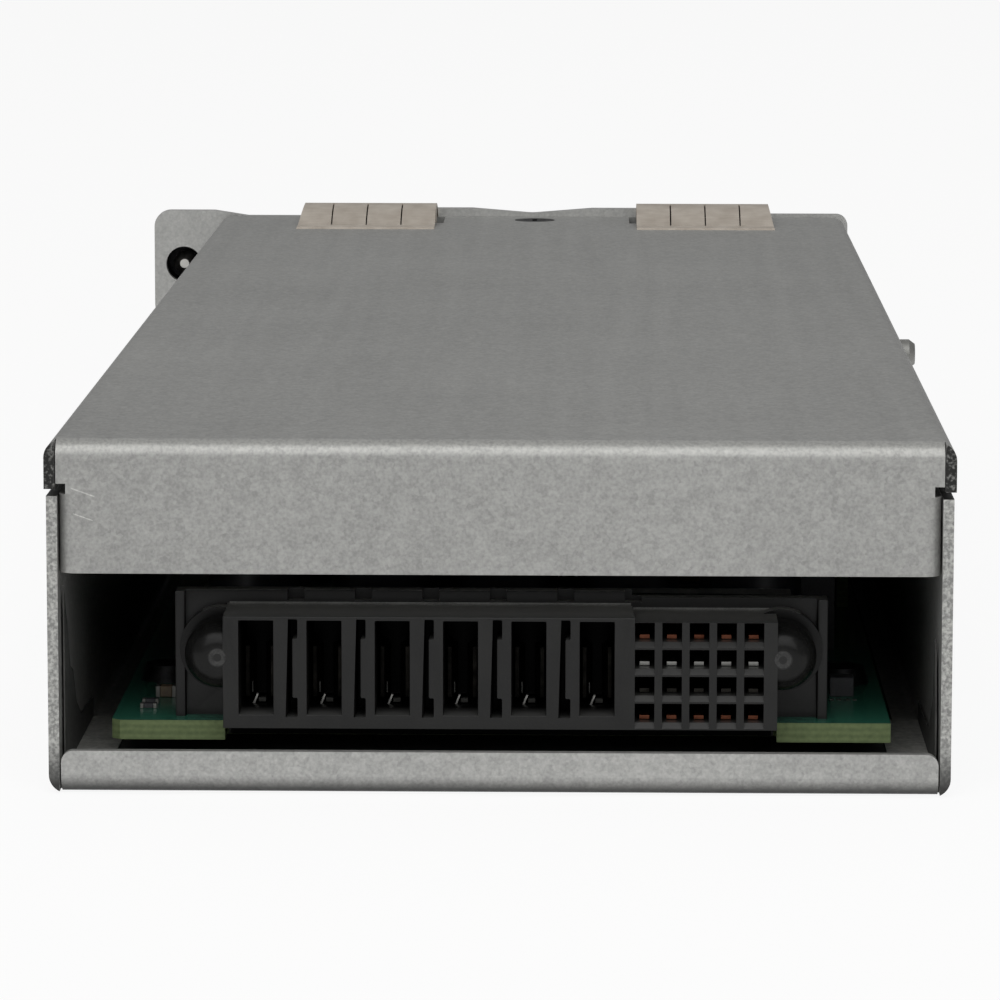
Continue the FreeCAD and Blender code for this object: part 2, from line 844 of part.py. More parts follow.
# Shielding strips.
def finger_section():
    """Section of a sprung finger: a foot, a rising arc over the crown and a lip down to the edge."""
    start = front - strip_start
    end = front - strip_end
    foot = start + strip_foot
    base = case_height
    crown_y = (foot + end) / 2
    skin = base + strip_thickness
    top_foot = Vector(0, foot, skin)
    under_foot = Vector(0, foot + strip_thickness, base)
    top_end = Vector(0, end, skin)
    under_end = Vector(0, end - strip_thickness, base)
    outer = Part.Arc(top_foot, Vector(0, crown_y, base + strip_crown), top_end).toShape()
    inner = Part.Arc(under_foot, Vector(0, crown_y, base + strip_crown - strip_thickness),
                     under_end).toShape()
    corners = [top_foot, Vector(0, start, skin), Vector(0, start, base), under_foot]
    edges = [Part.makeLine(a, b) for a, b in zip(corners, corners[1:])]
    edges += [outer, inner, Part.makeLine(top_end, under_end)]
    return Part.Face(Part.Wire(Part.__sortEdges__(edges)))


def emi_finger_strip(side):
    """A row of sprung contact fingers on a common foot, with a hook down through the cover's slot."""
    half = strip_length / 2
    strip = extrude(finger_section(), "yz", -half, half)
    pitch = (strip_length + strip_finger_gap) / strip_fingers
    crown_y = front - (strip_start - strip_foot + strip_end) / 2
    top = case_height + strip_crown + 1
    cuts = []
    for index in range(1, strip_fingers):
        x = -half + index * pitch - strip_finger_gap
        cuts.append(block((x, x + strip_finger_gap), (front - strip_start + strip_foot, crown_y),
                          (case_height - 1, top)))
    lean = strip_end_slope * (strip_crown + 1) / strip_crown
    wedge = outline("xz", [(half, case_height, 0), (half - lean, top, 0), (half + 1, top, 0),
                           (half + 1, case_height, 0)])
    cuts.append(extrude(wedge, "xz", front - strip_start - 1, front + 1))
    strip = strip.cut(group(cuts))
    hook = block((-half, -half + strip_thickness),
                 (crown_y - strip_hook_length / 2, crown_y + strip_hook_length / 2),
                 (case_height - strip_hook_depth, case_height + strip_crown - strip_thickness / 2))
    return at_strip(fused([strip, hook]), side)


# Fan.
def fan_grille():
    """Stamped honeycomb guard between the panel and the fan."""
    low = fan_z - fan_size / 2
    plate = extrude(rectangle("xz", (fan_x - fan_size / 2, fan_x + fan_size / 2), (low, low + fan_size),
                              fan_corner), "xz", fan_front, panel_back)
    cuts = [rod((x, fan_front - 1, z), "y", fan_hole_radius, 3) for x, z in fan_hole_centres()]
    corner = grille_hole / math.sqrt(3)
    row_height = grille_pitch * math.sqrt(3) / 2
    rows = int(fan_opening / row_height)
    for row in range(-rows, rows + 1):
        shift = grille_pitch / 2 if row % 2 else 0
        for column in range(-rows, rows + 1):
            x = column * grille_pitch + shift
            z = row * row_height
            if math.hypot(x, z) > fan_opening - corner:
                continue
            points = [Vector(fan_x + x + corner * math.sin(math.radians(60 * k)), fan_front - 1,
                             fan_z + z + corner * math.cos(math.radians(60 * k))) for k in range(7)]
            cuts.append(Part.Face(Part.makePolygon(points)).extrude(Vector(0, 3, 0)))
    return plate.cut(group(cuts))


def fan_frame():
    """Square frame with a round duct, a hub on three struts and the bearing tube."""
    low = fan_z - fan_size / 2
    frame = extrude(rectangle("xz", (fan_x - fan_size / 2, fan_x + fan_size / 2), (low, low + fan_size),
                              fan_corner), "xz", fan_rear, fan_front)
    cuts = [rod((fan_x, fan_rear - 1, fan_z), "y", fan_bore, fan_depth + 2)]
    cuts += [rod((x, fan_rear - 1, z), "y", fan_hole_radius, fan_depth + 2)
             for x, z in fan_hole_centres()]
    frame = frame.cut(group(cuts))
    hub = rod((fan_x, fan_rear, fan_z), "y", fan_hub_radius, fan_hub_thickness)
    post = rod((fan_x, fan_rear, fan_z), "y", fan_tube_outside, fan_hub_thickness + fan_tube_length)
    struts = []
    for angle in (30, 150, 270):
        strut = block((0, fan_bore + 0.4), (fan_rear, fan_rear + fan_hub_thickness),
                      (-fan_strut_width / 2, fan_strut_width / 2))
        strut.rotate(Vector(0, 0, 0), AXES["y"], angle)
        struts.append(strut.translated(Vector(fan_x, 0, fan_z)))
    frame = fused([frame, hub, post] + struts)
    seat = (fan_x, fan_rear + fan_hub_thickness, fan_z)
    return frame.cut(rod(seat, "y", bearing_outside, fan_tube_length))


def fan_bearing():
    """Sintered sleeve in the frame's tube."""
    start = (fan_x, fan_rear + fan_hub_thickness, fan_z)
    return tube(start, "y", bearing_outside, shaft_radius + shaft_clearance, bearing_length)


def fan_stator():
    """Wound stator on the outside of the bearing tube."""
    start = fan_rear + fan_hub_thickness + 1.2
    body = tube((fan_x, start, fan_z), "y", stator_radius, fan_tube_outside + shaft_clearance,
                stator_length)
    cuts = []
    for index in range(stator_poles):
        slot = block((fan_tube_outside + 1.2, stator_radius + 1), (start - 1, start + stator_length + 1),
                     (-stator_slot / 2, stator_slot / 2))
        slot.rotate(Vector(0, 0, 0), AXES["y"], 45 + index * 360 / stator_poles)
        cuts.append(slot.translated(Vector(fan_x, 0, fan_z)))
    return body.cut(group(cuts))


def blade_section(radius, pitch_angle, middle_y):
    """A blade's lens-shaped section at a radius: chord turned by its pitch."""
    half = blade_chord / 2 * min(1.0, radius / rotor_radius)
    along = Vector(math.cos(math.radians(pitch_angle)), math.sin(math.radians(pitch_angle)), 0)
    across = Vector(-along.y, along.x, 0)
    centre = Vector(0, middle_y, radius)
    start = centre - along * half
    end = centre + along * half
    upper = Part.Arc(start, centre + across * (blade_thickness * 1.4), end).toShape()
    lower = Part.Arc(end, centre + across * (blade_thickness * 0.4), start).toShape()
    return Part.Wire([upper, lower])


def fan_rotor():
    """Rotor cup with lofted, twisted blades."""
    cup_rear = fan_rear + fan_hub_thickness + rotor_gap
    cup_front = fan_front - rotor_gap
    cup = rod((fan_x, cup_rear, fan_z), "y", rotor_radius, cup_front - cup_rear)
    hollow_depth = cup_front - cup_rear - 2 * rotor_wall
    middle_y = (cup_rear + cup_front) / 2
    sections = [blade_section(rotor_radius - blade_sink, blade_root_pitch, middle_y),
                blade_section((rotor_radius + blade_tip_radius) / 2,
                               (blade_root_pitch + blade_tip_pitch) / 2, middle_y),
                blade_section(blade_tip_radius + 1, blade_tip_pitch, middle_y)]
    blade = Part.makeLoft(sections, True, False)
    blades = []
    for index in range(blade_count):
        copy = blade.copy()
        copy.rotate(Vector(0, 0, 0), AXES["y"], index * 360 / blade_count)
        blades.append(copy.translated(Vector(fan_x, 0, fan_z)))
    envelope = rod((fan_x, cup_rear, fan_z), "y", blade_tip_radius, cup_front - cup_rear)
    rotor = fused([cup] + blades).common(envelope)
    rotor = rotor.cut(rod((fan_x, cup_rear, fan_z), "y", rotor_radius - rotor_wall, hollow_depth))
    return rotor.cut(rod((fan_x, cup_rear, fan_z), "y", shaft_radius, cup_front - cup_rear - rotor_wall))


def fan_shaft():
    """Shaft pressed into the rotor, running in the bearing."""
    start = fan_rear + fan_hub_thickness + 0.4
    end = fan_front - rotor_gap - rotor_wall
    return rod((fan_x, start, fan_z), "y", shaft_radius, end - start)


def fan_screws():
    """Countersunk screws through the panel into the fan frame."""
    screws = []
    for x, z in fan_hole_centres():
        screws.append(turned("y", (x, 0, z), [
            (panel_front - fan_screw_length, 0), (panel_front - fan_screw_length, fan_screw_radius),
            (panel_back + screw_clearance, fan_screw_radius), (panel_front, fan_screw_head_radius),
            (panel_front, 0)]))
    return group(screws)


# Bail handle.
def handle_bail():
    """Round wire bail: pins outward through the lugs, two legs and a cross bar."""
    top = bail_pivot_height
    bottom = top - bail_drop
    pin_left = bail_left - bail_pin_length
    pin_right = bail_right + bail_pin_length
    bottom_left = Vector(bail_left, bail_pivot_y, bottom)
    bottom_right = Vector(bail_right, bail_pivot_y, bottom)
    top_left = Vector(bail_left, bail_pivot_y, top)
    top_right = Vector(bail_right, bail_pivot_y, top)
    left_half = (top_left + bottom_left) / 2
    right_half = (top_right + bottom_right) / 2
    left = bent_rod([Vector(pin_left, bail_pivot_y, top), top_left, left_half], bail_pin_bend, bail_wire)
    right = bent_rod([Vector(pin_right, bail_pivot_y, top), top_right, right_half], bail_pin_bend,
                     bail_wire)
    lower = bent_rod([left_half, bottom_left, bottom_right, right_half], bail_corner, bail_wire)
    return fused([left, lower, right])


def handle_lug(x_inner, outward, foot_inward):
    """Ear with the bail's hole, a riveted foot and a stop tab over the leg."""
    x_outer = x_inner + outward * lug_thickness
    x = sorted((x_inner, x_outer))
    tip = bail_pivot_y + lug_nose
    stop = bail_pivot_height + bail_wire + bail_clearance
    top = stop + lug_thickness
    side = outline("yz", [
        (panel_front, lug_foot_bottom, 0),
        (panel_front + lug_thickness + lug_step, lug_foot_bottom, lug_corner),
        (tip, bail_pivot_height - lug_nose, lug_nose - touch_gap), (tip, top, lug_corner),
        (panel_front, top, 0)])
    ear = extrude(side, "yz", x[0], x[1])
    foot_end = x_inner + (-outward if foot_inward else outward) * lug_foot_width
    foot_x = sorted((foot_end, x_outer if foot_inward else x_inner))
    foot = extrude(rectangle("xz", foot_x, (lug_foot_bottom, lug_foot_top), lug_corner), "xz",
                   panel_front, panel_front + lug_thickness)
    tab_x = sorted((x_inner - outward * 2 * bail_wire, x_outer))
    tab = block(tab_x, (panel_front + lug_corner, tip), (stop, top))
    lug = fused([ear, foot, tab])
    hole = rod((x[0] - 1, bail_pivot_y, bail_pivot_height), "x", bail_wire + lug_hole_clearance,
               lug_thickness + 2)
    return lug.cut(hole)


def with_rivet_hole(lug, centre):
    """A lug with its rivet hole."""
    start = (centre[0], panel_front - 1, centre[1])
    return lug.cut(rod(start, "y", rivet_hole_radius, lug_thickness + 2))


def handle_lug_left():
    """Lug beside the thumbscrew, with its foot turned inward."""
    lug = handle_lug(bail_left - bail_wire - bail_clearance, -1, True)
    return with_rivet_hole(lug, lug_rivet_centres()[0])


def handle_lug_right():
    """Lug in the middle of the panel, with its foot turned outward."""
    lug = handle_lug(bail_right + bail_wire + bail_clearance, 1, False)
    return with_rivet_hole(lug, lug_rivet_centres()[1])


# Captive thumbscrew.
def thumbscrew_ferrule():
    """Sleeve welded on the ear's face; its end wall keeps the screw captive."""
    flange_end = panel_front + ferrule_flange_thickness
    neck_hole = screw_neck_radius + pin_clearance
    return turned("y", (thumb_x, 0, thumb_z), [
        (panel_front, ferrule_bore), (panel_front, ferrule_flange), (flange_end, ferrule_flange),
        (flange_end, ferrule_sleeve), (ferrule_end, ferrule_sleeve), (ferrule_end, neck_hole),
        (ferrule_end - ferrule_end_wall, neck_hole), (ferrule_end - ferrule_end_wall, ferrule_bore)])


def thumbscrew():
    """Knurled knob and its screw, which stays behind the ferrule's end wall."""
    tip = panel_back + screw_tip_recess
    shoulder = ferrule_end - ferrule_end_wall - screw_shoulder_gap
    bore_floor = knob_start + knob_bore_depth
    knob_end = knob_start + knob_length
    profile = [(tip, 0), (tip, screw_tip_radius), (tip + screw_tip_length, screw_radius),
               (shoulder, screw_radius), (shoulder, screw_neck_radius),
               (bore_floor, screw_neck_radius), (bore_floor, knob_bore),
               (knob_start, knob_bore), (knob_start, knob_radius), (knob_end - 0.6, knob_radius),
               (knob_end, knob_radius - 0.6), (knob_end, 0)]
    screw = turned("y", (thumb_x, 0, thumb_z), profile)
    cuts = []
    for index in range(knob_grooves):
        angle = 2 * math.pi * index / knob_grooves
        half = math.pi / knob_grooves * 0.7
        corners = [(knob_radius - knob_groove_depth, angle), (knob_radius * 1.1, angle + half),
                   (knob_radius * 1.1, angle - half)]
        start = knob_start + knob_plain_rim
        points = [Vector(thumb_x + r * math.cos(a), start, thumb_z + r * math.sin(a))
                  for r, a in corners]
        cuts.append(Part.Face(Part.makePolygon(points + points[:1])).extrude(Vector(0, knob_length, 0)))
    slot = knob_slot_width / 2
    cuts.append(block((thumb_x - knob_radius, thumb_x + knob_radius),
                      (knob_end - knob_slot_depth, knob_end + 1),
                      (thumb_z - slot, thumb_z + slot)))
    return screw.cut(group(cuts))


def thumbscrew_washer():
    """Thrust washer on the screw's neck, between the spring and the knob."""
    start = (thumb_x, washer_front - washer_thickness, thumb_z)
    return tube(start, "y", washer_radius, screw_neck_radius + pin_clearance, washer_thickness)


def thumbscrew_spring():
    """Coil spring that pushes the knob out from the ferrule, wound as short straight runs."""
    start = ferrule_end + spring_wire + 0.02
    length = washer_front - washer_thickness - spring_wire - 0.02 - start
    steps = spring_turns * spring_steps
    points = []
    for index in range(steps + 1):
        angle = 2 * math.pi * index / spring_steps
        points.append(Vector(thumb_x + spring_radius * math.cos(angle), start + length * index / steps,
                             thumb_z + spring_radius * math.sin(angle)))
    path = Part.makePolygon(points)
    along = (points[1] - points[0]).normalize()
    out = Vector(1, 0, 0)
    up = along.cross(out).normalize()
    ring = [points[0] + out * (spring_wire * u) + up * (spring_wire * v)
            for u, v in ((1, 1), (-1, 1), (-1, -1), (1, -1), (1, 1))]
    return path.makePipeShell([Part.makePolygon(ring)], True, True, 1)


# AC inlet.
def ac_inlet_body():
    """Moulded inlet: flange, body behind the panel and the socket with its two cut corners."""
    u = inlet_flange_width / 2
    v = inlet_flange_height / 2
    flange_front = panel_front + inlet_flange_thickness
    face = rectangle("xz", (inlet_x - u, inlet_x + u), (inlet_z - v, inlet_z + v), inlet_flange_corner)
    flange = extrude(face, "xz", panel_front, flange_front)
    section = inlet_section(inlet_body_width, inlet_body_height, inlet_body_chamfer, 0)
    body = extrude(section, "xz", panel_front - inlet_body_depth, panel_front)
    socket = inlet_section(inlet_socket_width, inlet_socket_height, inlet_socket_chamfer,
                           inlet_socket_corner)
    socket = extrude(socket, "xz", flange_front - inlet_socket_depth, flange_front + 1)
    return fused([flange, body]).cut(group([socket] + inlet_pin_solids()))


def inlet_pin_centres():
    """Line, neutral and earth positions."""
    reach = inlet_pin_spacing / 2
    return [(inlet_x - reach, inlet_z - inlet_pin_offset), (inlet_x + reach, inlet_z - inlet_pin_offset),
            (inlet_x, inlet_z + inlet_pin_offset)]


def inlet_pin_solids():
    """Flat blades in the socket, each with a solder tab behind the body."""
    floor = panel_front + inlet_flange_thickness - inlet_socket_depth
    back = panel_front - inlet_body_depth
    pins = []
    for x, z in inlet_pin_centres():
        face = rectangle("xz", (x - inlet_pin_width / 2, x + inlet_pin_width / 2),
                         (z - inlet_pin_height / 2, z + inlet_pin_height / 2), inlet_pin_corner)
        blade = extrude(face, "xz", floor - inlet_pin_root, floor + inlet_pin_length)
        tab = block((x - inlet_tab_width / 2, x + inlet_tab_width / 2),
                    (back - inlet_tab_length, floor - inlet_pin_root / 2),
                    (z - inlet_pin_height / 2, z + inlet_pin_height / 2))
        pins.append(fused([blade, tab]))
    return pins


def ac_inlet_pins():
    """The three blades as one node."""
    return group(inlet_pin_solids())


# Main board.
def standoff_centres():
    """Board fixings along both sides."""
    places = [rear + distance for distance in standoff_from_rear] + [front - standoff_from_front]
    return [(side * standoff_x, y) for y in places for side in (-1, 1)]


def main_board():
    """Board with a cut-out under the docking connector's nose and a chamfered corner."""
    notch = dock_nose_half_width + board_notch_gap
    face = outline("xy", [
        (-board_half, board_rear + board_chamfer, 0), (-board_half + board_chamfer, board_rear, 0),
        (-notch, board_rear, 0), (-notch, dock_flange_face, 0), (notch, dock_flange_face, 0),
        (notch, board_rear, 0), (board_half, board_rear, 0), (board_half, board_front, 0),
        (-board_half, board_front, 0)])
    board = extrude(face, "xy", board_underside, board_top)
    holes = [rod((x, y, board_underside - 1), "z", board_hole_radius, board_thickness + 2)
             for x, y in standoff_centres()]
    return board.cut(group(holes))


def board_standoffs():
    """Threaded spacers pressed into the tray's floor."""
    spacers = []
    for x, y in standoff_centres():
        corners = [Vector(x + standoff_radius * math.cos(math.radians(60 * k)),
                          y + standoff_radius * math.sin(math.radians(60 * k)), sheet) for k in range(7)]
        spacer = Part.Face(Part.makePolygon(corners)).extrude(Vector(0, 0, board_underside - sheet))
        spacers.append(spacer.cut(rod((x, y, sheet), "z", board_screw_radius, board_underside)))
    return group(spacers)


def board_screws():
    """Pan head screws that hold the board down."""
    screws = []
    for x, y in standoff_centres():
        screws.append(turned("z", (x, y, 0), [
            (sheet, 0), (sheet, board_screw_radius), (board_top, board_screw_radius),
            (board_top, board_screw_head_radius),
            (board_top + board_screw_head_height, board_screw_head_radius * 0.8),
            (board_top + board_screw_head_height, 0)]))
    return group(screws)


def insulator_sheet():
    """Thin plastic sheet between the board and the tray's floor."""
    z = sheet + insulator_floor_gap
    half = board_half + insulator_inset
    sheet_solid = block((-half, half), (board_rear, board_front), (z, z + insulator_thickness))
    holes = [rod((x, y, 0), "z", standoff_radius + 0.4, board_underside) for x, y in standoff_centres()]
    return sheet_solid.cut(group(holes))


# Docking connector.
def guide_post(side):
    """Half-sunk boss at the root and a bullet nose with a flat tip."""
    length = dock_nose_length
    dome = post_radius - post_tip_radius
    points = [Vector(0, 0, 0), Vector(post_tip_radius, 0, 0), Vector(post_radius, dome, 0)]
    bend = points[1] + Vector(dome * math.sin(math.pi / 4), dome * (1 - math.cos(math.pi / 4)), 0)
    edges = [Part.makeLine(points[0], points[1]), Part.Arc(points[1], bend, points[2]).toShape()]
    rest = [points[2], Vector(post_radius, length - post_root_length, 0),
            Vector(post_root_radius, length - post_root_length, 0),
            Vector(post_root_radius, length + dock_body_sink, 0),
            Vector(0, length + dock_body_sink, 0), points[0]]
    edges += [Part.makeLine(a, b) for a, b in zip(rest, rest[1:])]
    post = Part.Face(Part.Wire(edges)).revolve(Vector(0, 0, 0), AXES["y"], 360)
    return post.translated(Vector(side * post_x, dock_face, post_z))


def power_slot_centres():
    """Middles of the power slots across the nose."""
    return [power_first + index * power_pitch for index in range(power_count)]


def signal_cell_centres():
    """Middles of the signal cells."""
    return [(signal_first_x + column * signal_pitch, signal_first_z + row * signal_pitch)
            for column in range(signal_columns) for row in range(signal_rows)]


def power_cuts():
    """Power slots and the narrow vents between them, each vent half filled by a rib in the middle."""
    cuts = []
    for x in power_slot_centres():
        cuts.append(block((x - power_slot_width / 2, x + power_slot_width / 2),
                          (dock_face - 1, dock_face + power_slot_depth),
                          (power_slot_bottom, power_slot_top)))
    rib_half = (vent_top - vent_bottom) * vent_rib_share / 2
    middle = (vent_top + vent_bottom) / 2
    for x in power_slot_centres()[:-1]:
        left = x + vent_offset - vent_width / 2
        vent = block((left, left + vent_width), (dock_face - 1, dock_face + vent_depth),
                     (vent_bottom, vent_top))
        rib = block((left + vent_width / 2, left + vent_width), (dock_face, dock_face + vent_depth),
                    (middle - rib_half, middle + rib_half))
        cuts.append(vent.cut(rib))
    return cuts


def signal_cuts():
    """Signal cells with chamfered mouths."""
    cuts = []
    u = signal_cell_width / 2
    v = signal_cell_height / 2
    for x, z in signal_cell_centres():
        cuts.append(block((x - u, x + u), (dock_face - 1, dock_face + signal_cell_depth), (z - v, z + v)))
        inner = rectangle("xz", (x - u, x + u), (z - v, z + v), 0)
        outer = rectangle("xz", (x - u - mouth_side, x + u + mouth_side),
                          (z - v - mouth_below, z + v + mouth_above), 0)
        mouth = [outer.Wires[0].translated(AXES["y"] * dock_face),
                 inner.Wires[0].translated(AXES["y"] * (dock_face + mouth_depth))]
        cuts.append(Part.makeLoft(mouth, True, True))
    return cuts


def flange_notches():
    """Small notches in the flange's top edge, one beside each power slot."""
    half = flange_notch_width / 2
    y = (dock_flange_face - 1, dock_flange_face + dock_flange_thickness - flange_notch_web)
    z = (dock_flange_top - flange_notch_depth, dock_flange_top + 1)
    return [block((x + vent_offset - half, x + vent_offset + half), y, z) for x in power_slot_centres()]


def docking_connector_housing():
    """Moulded housing: nose, flange with side rims, rear body, two guide posts and a keel in the
    board's cut-out."""
    nose = block((-dock_nose_half_width, signal_block_left), (dock_face, dock_flange_face + 1),
                 (dock_bottom, dock_power_top))
    signal = block((signal_block_left, dock_nose_half_width), (dock_face, dock_flange_face + 1),
                   (dock_bottom, dock_signal_top))
    flange_end = dock_flange_face + dock_flange_thickness
    flange = block((-dock_flange_half_width, dock_flange_half_width), (dock_flange_face, flange_end),
                   (dock_bottom, dock_flange_top))
    rim_start = dock_flange_face - dock_flange_rim
    rims = both_sides(block((dock_flange_half_width - dock_flange_rim_width, dock_flange_half_width),
                            (rim_start, flange_end), (dock_bottom, dock_flange_top)))
    body = block((-dock_body_half_width, dock_body_half_width), (flange_end - dock_body_sink, dock_back),
                 (dock_bottom, dock_body_top))
    keel_half = dock_nose_half_width - dock_keel_gap
    keel = block((-keel_half, keel_half), (dock_flange_face - dock_keel_length, dock_flange_face),
                 (dock_bottom - dock_keel_depth, dock_bottom + 1))
    step = block((signal_block_left, dock_flange_half_width + 1), (rim_start - 1, dock_back + 1),
                 (dock_flange_top - dock_signal_step, dock_flange_top + 1))
    housing = fused([nose, signal, flange, body, keel, guide_post(-1), guide_post(1)] + rims)
    return housing.cut(group(power_cuts() + signal_cuts() + flange_notches() + [step]))


def leaf_path(side):
    """Path of one bowed contact leaf from its slot's mouth to its back."""
    start = dock_face + leaf_recess
    back = dock_face + power_slot_depth
    wall = power_slot_width / 2 - leaf_inset
    return [(side * wall, start), (side * (wall - leaf_bow), start + leaf_crest),
            (side * wall, start + leaf_root), (side * wall, back)]


def power_contacts():
    """Two bowed copper leaves in each slot, with a solder tail through the board."""
    z = (power_slot_bottom + leaf_lift, power_slot_bottom + leaf_lift + leaf_height)
    leaves = []
    for x in power_slot_centres():
        for side in (-1, 1):
            path = [(x + u, v) for u, v in leaf_path(side)]
            thickness = leaf_thickness if side > 0 else -leaf_thickness
            leaves.append(bent_sheet("xy", path, thickness, 0, z[0], z[1]))
    return group(leaves)


def power_tails():
    """Solder tails of the power contacts below the connector's rear body."""
    tails = []
    for x in power_slot_centres():
        y = dock_back + tail_gap
        tails.append(block((x - power_slot_width / 2, x + power_slot_width / 2), (y, y + tail_width),
                           (board_top, dock_bottom + tail_length)))
    return group(tails)


def signal_contacts():
    """Flat contact tongues in the signal cells."""
    half = signal_tongue_width / 2
    y = (dock_face + signal_tongue_recess, dock_face + signal_cell_depth)
    tongues = []
    for x, z in signal_cell_centres():
        top = z - signal_tongue_drop + signal_tongue_height / 2
        tongues.append(block((x - half, x + half), y, (top - signal_tongue_height, top)))
    return group(tongues)


# Parts on the main board.
def finned_heatsink(y):
    """Extruded heatsink: an upright base with fins reaching outward, open to the air flow."""
    left = sink_x - sink_base - sink_fin_reach
    bottom = board_top
    top = part_roof
    pitch = (top - bottom - sink_fin) / (sink_fin_count - 1)
    corners = [(sink_x, bottom, 0), (sink_x, top, 0)]
    for index in range(sink_fin_count):
        high = top - index * pitch
        corners += [(left, high, 0), (left, high - sink_fin, 0)]
        if index < sink_fin_count - 1:
            corners += [(sink_x - sink_base, high - sink_fin, 0), (sink_x - sink_base, high - pitch, 0)]
    return extrude(outline("xz", corners), "xz", y[0], y[1])


def secondary_heatsink():
    """Heatsink of the output rectifiers."""
    return finned_heatsink(secondary_sink_y)


def primary_heatsink():
    """Heatsink of the input switches."""
    return finned_heatsink(primary_sink_y)


def transistor_row(y, count):
    """Power packages clamped to a heatsink's flat side, with their leads in the board."""
    x = (sink_x + package_gap, sink_x + package_gap + package_thickness)
    packages = []
    for index in range(count):
        middle = (y[0] + y[1]) / 2 + (index - (count - 1) / 2) * package_pitch
        body_z = (board_top + 4.0, board_top + 4.0 + package_height)
        body = block(x, (middle - package_width / 2, middle + package_width / 2), body_z)
        leads = []
        for offset in (-lead_pitch, 0, lead_pitch):
            leads.append(block((x[1] - 2.4, x[1] - 2.4 + lead_size),
                               (middle + offset - lead_size / 2, middle + offset + lead_size / 2),
                               (board_top, body_z[0] + 1)))
        packages.append(fused([body] + leads))
    return group(packages)


def rectifier_transistors():
    """Output rectifiers on the secondary heatsink."""
    return transistor_row(secondary_sink_y, 3)


def primary_transistors():
    """Input switches on the primary heatsink."""
    return transistor_row(primary_sink_y, 3)


def transformer_core():
    """Ferrite core: two plates, two side legs and a round middle post."""
    x = (core_x - core_width / 2, core_x + core_width / 2)
    y = (core_y - core_depth / 2, core_y + core_depth / 2)
    low = board_top
    high = board_top + core_height
    plates = [block(x, y, (low, low + core_plate)), block(x, y, (high - core_plate, high))]
    legs = [block((x[0], x[0] + core_leg), y, (low, high)),
            block((x[1] - core_leg, x[1]), y, (low, high))]
    post = rod((core_x, core_y, low), "z", core_post_radius, core_height)
    return fused(plates + legs + [post])


def transformer_winding():
    """Wound bobbin round the middle post."""
    radius = core_width / 2 - core_leg - winding_gap
    low = board_top + core_plate + winding_gap
    high = board_top + core_height - core_plate - winding_gap
    inner = core_post_radius + winding_gap
    return turned("z", (core_x, core_y, 0), [
        (low, inner), (low, radius), (low + bobbin_flange, radius), (low + bobbin_flange, radius - 1.2),
        (high - bobbin_flange, radius - 1.2), (high - bobbin_flange, radius),
        (high, radius), (high, inner)])


def can(x, y, radius, height):
    """Electrolytic capacitor: a can with a rolled bead and a rounded top edge."""
    low = board_top
    top = low + height
    bead = low + height * 0.12
    return turned("z", (x, y, 0), [
        (low, 0), (low, radius), (bead, radius), (bead + can_bead, radius - can_bead),
        (bead + 2 * can_bead, radius), (top - can_bead, radius), (top, radius - can_bead), (top, 0)])


def bulk_capacitors():
    """High voltage reservoir capacitors."""
    return group([can(side * bulk_x, bulk_y, bulk_radius, bulk_height) for side in (-1, 1)])


def output_capacitors():
    """Row of low voltage capacitors behind the docking connector."""
    first = -(output_can_count - 1) / 2 * output_can_pitch
    places = [first + index * output_can_pitch for index in range(output_can_count)]
    return group([can(x, output_can_y, output_can_radius, output_can_height) for x in places])


def ring_solid(x, y, low, outside, inside, height, chamfer, angle, turn):
    """Part of a ring with chamfered edges, standing on the board."""
    c = chamfer
    high = low + height
    corners = [(inside + c, low), (outside - c, low), (outside, low + c), (outside, high - c),
               (outside - c, high), (inside + c, high), (inside, high - c), (inside, low + c)]
    if chamfer == 0:
        corners = [(inside, low), (outside, low), (outside, high), (inside, high)]
    points = [Vector(u, 0, v) for u, v in corners]
    ring = Part.Face(Part.makePolygon(points + points[:1])).revolve(Vector(0, 0, 0), AXES["z"], angle)
    ring.rotate(Vector(0, 0, 0), AXES["z"], turn)
    return ring.translated(Vector(x, y, 0))


def ring_core(x, y, outside, inside, height, wire, grow):
    """Plain ring core, or the room that it needs when grown."""
    low = board_top + choke_lift + wire - grow
    outer = outside - wire + grow
    return ring_solid(x, y, low, outer, inside + wire - grow, height + 2 * grow, 0, 360, 0)


def ring_windings(x, y, outside, inside, height, wire, angle, turns):
    """Wound stretches round a ring core."""
    room = ring_core(x, y, outside, inside, height, wire, touch_gap)
    windings = []
    for turn in turns:
        whole = ring_solid(x, y, board_top + choke_lift, outside, inside, height + 2 * wire, wire,
                           angle, turn)
        windings.append(whole.cut(room))
    return group(windings)


def boost_choke_core():
    """Ring core of the input stage's choke."""
    return ring_core(choke_x, choke_y, choke_outside, choke_inside, choke_height, choke_wire, 0)


def boost_choke_winding():
    """Winding of the input stage's choke."""
    return ring_windings(choke_x, choke_y, choke_outside, choke_inside, choke_height, choke_wire,
                         choke_arc, (30,))


def common_mode_core():
    """Ring core of the filter choke."""
    return ring_core(filter_x, filter_y, filter_outside, filter_inside, filter_height, filter_wire, 0)


def common_mode_windings():
    """Two separate windings of the filter choke."""
    return ring_windings(filter_x, filter_y, filter_outside, filter_inside, filter_height, filter_wire,
                         filter_arc, (20, 200))


def film_capacitors():
    """Two boxed film capacitors across the input."""
    boxes = []
    for index in (0, 1):
        x = film_x + index * film_pitch
        face = rectangle("xy", (x - film_width / 2, x + film_width / 2),
                         (film_y - film_length / 2, film_y + film_length / 2),
                         film_corner)
        boxes.append(extrude(face, "xy", board_top, board_top + film_height))
    return group(boxes)


